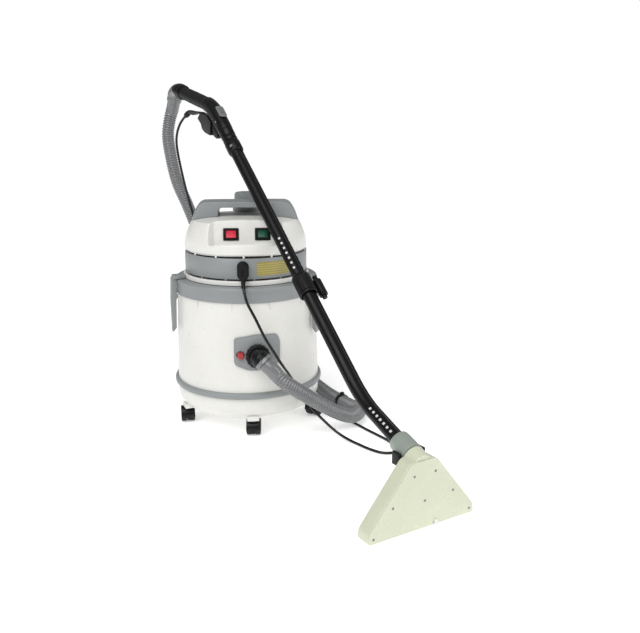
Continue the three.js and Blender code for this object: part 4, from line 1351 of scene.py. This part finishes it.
def thumb_slider():
    lift = WAND @ Matrix.Translation((0, *on_run(812))) @ Matrix.Rotation(RUN_ANGLE, 4, "X")
    pad = outline_solid("pad", rounded_rectangle(22, 40, 6, 8), 21.3, 24.6, lift)
    bevelled(pad, 1.2)
    ribs = [
        bevelled(block("rib", (-7.5, y - 0.9, 24), (7.5, y + 0.9, 25.9), lift), 0.6, 2)
        for y in (-12, -8, -4, 0, 4, 8, 12)
    ]
    finish(joined("thumb_slider_pad", [pad, *ribs]), SLIDER, "slider", "thumb_slider")


TRIGGER_PIVOT = (0, 941, 772)
TRIGGER_PIN = WAND @ Matrix.Translation(TRIGGER_PIVOT) @ Matrix.Rotation(math.pi / 2, 4, "Y")


def valve_body():
    valve = [
        (1082.4, 816.4), (1040, 813), (985, 810.5), (938, 798), (915, 786), (893, 766), (878, 744),
        (890, 739), (912, 748), (922, 757), (930, 757), (953, 765), (965, 777), (971, 790),
        (1004, 807), (1046, 801.5), (1077.8, 805),
    ]
    body = side_solid("valve", rounded_outline(valve, 6, 4), 5.5, WAND)
    combined(body, rod("hole", 3.4, -8, 8, TRIGGER_PIN, 32))
    bevelled(body, 1.6, 3)
    body.name = "valve_body_casting"
    finish(body, BLACK, "wand", "valve_body")


def trigger():
    """A channel round the valve, on a cross pin."""
    outline = [(985, 808), (945, 801), (919, 784), (924, 748), (957, 755), (976, 765), (982, 778),
               (1003, 793), (1001, 795)]
    room = [(y - 3, z + 3) for y, z in outline]
    plates = side_solid("trigger", outline, 9.9, WAND)
    combined(plates, side_solid("room", room, 6.3, WAND))
    bevelled(plates, 0.9, 3)
    parts = [plates]
    for y, z in (TRIGGER_PIVOT[1:], (961, 783)):
        across = WAND @ Matrix.Translation((0, y, z)) @ Matrix.Rotation(math.pi / 2, 4, "Y")
        ends = ((-9.99, -9.7), (9.7, 9.99))
        for low, high in ends:
            parts.append(
                rod("rivet", 3.2, low, high, across, 32)
            )
    parts.append(rod("pin", 3, -9, 9, TRIGGER_PIN, 32))
    finish(joined("trigger_lever", parts), DARK, "trigger", "trigger")


def line_connector():
    connector = [
        (0, 0), (5.6, 0), (6, 0.6), (6, 8.6), (7.6, 9.4), (8, 11), (8, 15), (7.2, 16), (7.2, 18),
        (8, 19), (8, 24), (6.6, 26), (6.2, 30), (5, 35.6), (4.6, 36), (0, 36),
    ]
    at = WAND @ Matrix.Translation((0, 1080.5, 810.6)) @ Matrix.Rotation(
        math.radians(-112), 4, "X")
    finish(turned("line_connector_body", connector, at, 48), BLACK, "wand", "line_connector")


def hose_clip():
    """The clip that holds the solution line against the hose where they leave together."""
    hose_at = Vector((258, 32, 19))
    along = Vector((-32, 57, 0)).normalized()
    side = Vector((0, 0, 1)).cross(along)
    matrix = MACHINE @ Matrix((
        (side.x, 0, along.x, hose_at.x),
        (side.y, 0, along.y, hose_at.y),
        (side.z, 1, along.z, hose_at.z),
        (0, 0, 0, 1),
    ))
    bridge = [(r * math.cos(math.radians(a)), r * math.sin(math.radians(a)))
              for r, span in ((21.4, range(-30, 211, 10)), (19.3, range(210, -31, -10)))
              for a in span]
    strap = bevelled(outline_solid("strap", bridge, -6, 6, matrix), 0.7, 2)
    tag = bevelled(block("tag", (-5, 20.6, -4), (5, 27, 4), matrix), 1.2)
    finish(joined("hose_clip", [strap, tag]), BLACK)


# ---- Inside ------------------------------------------------------------------------------------


def carried_over():
    """The hidden pieces keep their CAD shape and get the materials of the real ones."""
    for name, material in (
        ("inlet_socket", BLACK),
        ("impeller", CAST),
        ("vacuum_motor", MOTOR),
        ("solution_pump", BLACK_TEXTURED),
        ("pickup_tube", WHITE),
        ("solution_tank", WHITE),
        ("float_cage", WHITE),
        ("float_ball", BUTTON_RED),
    ):
        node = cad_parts[name]
        node.data.materials.clear()
        node.data.materials.append(material)


drum()
bands()
casters()
inlet_plate()
cuff()
inlet_button()
latches()
head_cap()
head_rings()
carry_handle()
filler_cap()
switches()
line_elbow()
label_panel()
mains_gland()
tool_body()
tool_cover()
tool_collar()
jet_yoke()
spray_jet()
wand_tubes()
couplings()
handle_sleeve()
handle_body()
grip()
end_cuff()
thumb_slider()
valve_body()
trigger()
line_connector()
hose_clip()
carried_over()

# ---- Light and floor ---------------------------------------------------------------------------


def floor():
    bm = bmesh.new()
    bmesh.ops.create_grid(bm, x_segments=1, y_segments=1, size=14000)
    thing = to_object("floor", bm, MACHINE)
    material, tree, shader = nodes_of("floor")
    pale = ramp(tree, noise(tree, 0.6, 2), [(0.3, grey(0.95)), (0.7, grey(0.97))])
    tree.links.new(pale, shader.inputs["Base Color"])
    shader.inputs["Emission Color"].default_value = (1, 1, 1, 1)
    shader.inputs["Emission Strength"].default_value = 0.36
    shader.inputs["Roughness"].default_value = 0.8
    thing.data.materials.append(material)


def area_light(name, position, target, size, power):
    data = bpy.data.lights.new(name, "AREA")
    data.shape = "RECTANGLE"
    data.size, data.size_y = size
    data.energy = power
    lamp = bpy.data.objects.new(name, data)
    lamp.location = AXIS + Vector(position)
    aim = AXIS + Vector(target) - lamp.location
    lamp.rotation_euler = aim.to_track_quat("-Z", "Y").to_euler()
    scene.collection.objects.link(lamp)


def soft_sun(direction, energy, spread):
    data = bpy.data.lights.new("sun", "SUN")
    data.energy = energy
    data.angle = math.radians(spread)
    lamp = bpy.data.objects.new("sun", data)
    lamp.rotation_euler = Vector(direction).to_track_quat("-Z", "Y").to_euler()
    scene.collection.objects.link(lamp)


def white_world(glow, shown):
    """A white world that lights the object by one strength and is seen at another."""
    world = bpy.data.worlds.new("studio")
    world.use_nodes = True
    tree = world.node_tree
    background = tree.nodes["Background"]
    seen = tree.nodes.new("ShaderNodeLightPath").outputs["Is Camera Ray"]
    strength = tree.nodes.new("ShaderNodeMix")
    strength.data_type = "FLOAT"
    strength.inputs[2].default_value = glow
    strength.inputs[3].default_value = shown
    tree.links.new(seen, strength.inputs[0])
    tree.links.new(strength.outputs[0], background.inputs["Strength"])
    background.inputs["Color"].default_value = (1, 1, 1, 1)
    scene.world = world


floor()
soft_sun((0.22, 0.66, -1.0), 1.85, 50)
area_light("key", (-1.3, -2.0, 1.7), (0, 0, 0.35), (0.5, 1.6), 11)
area_light("side", (2.2, -0.9, 1.4), (0.0, 0, 0.3), (0.5, 1.8), 17)
white_world(glow=0.27, shown=1.0)
scene.view_settings.view_transform = "Standard"
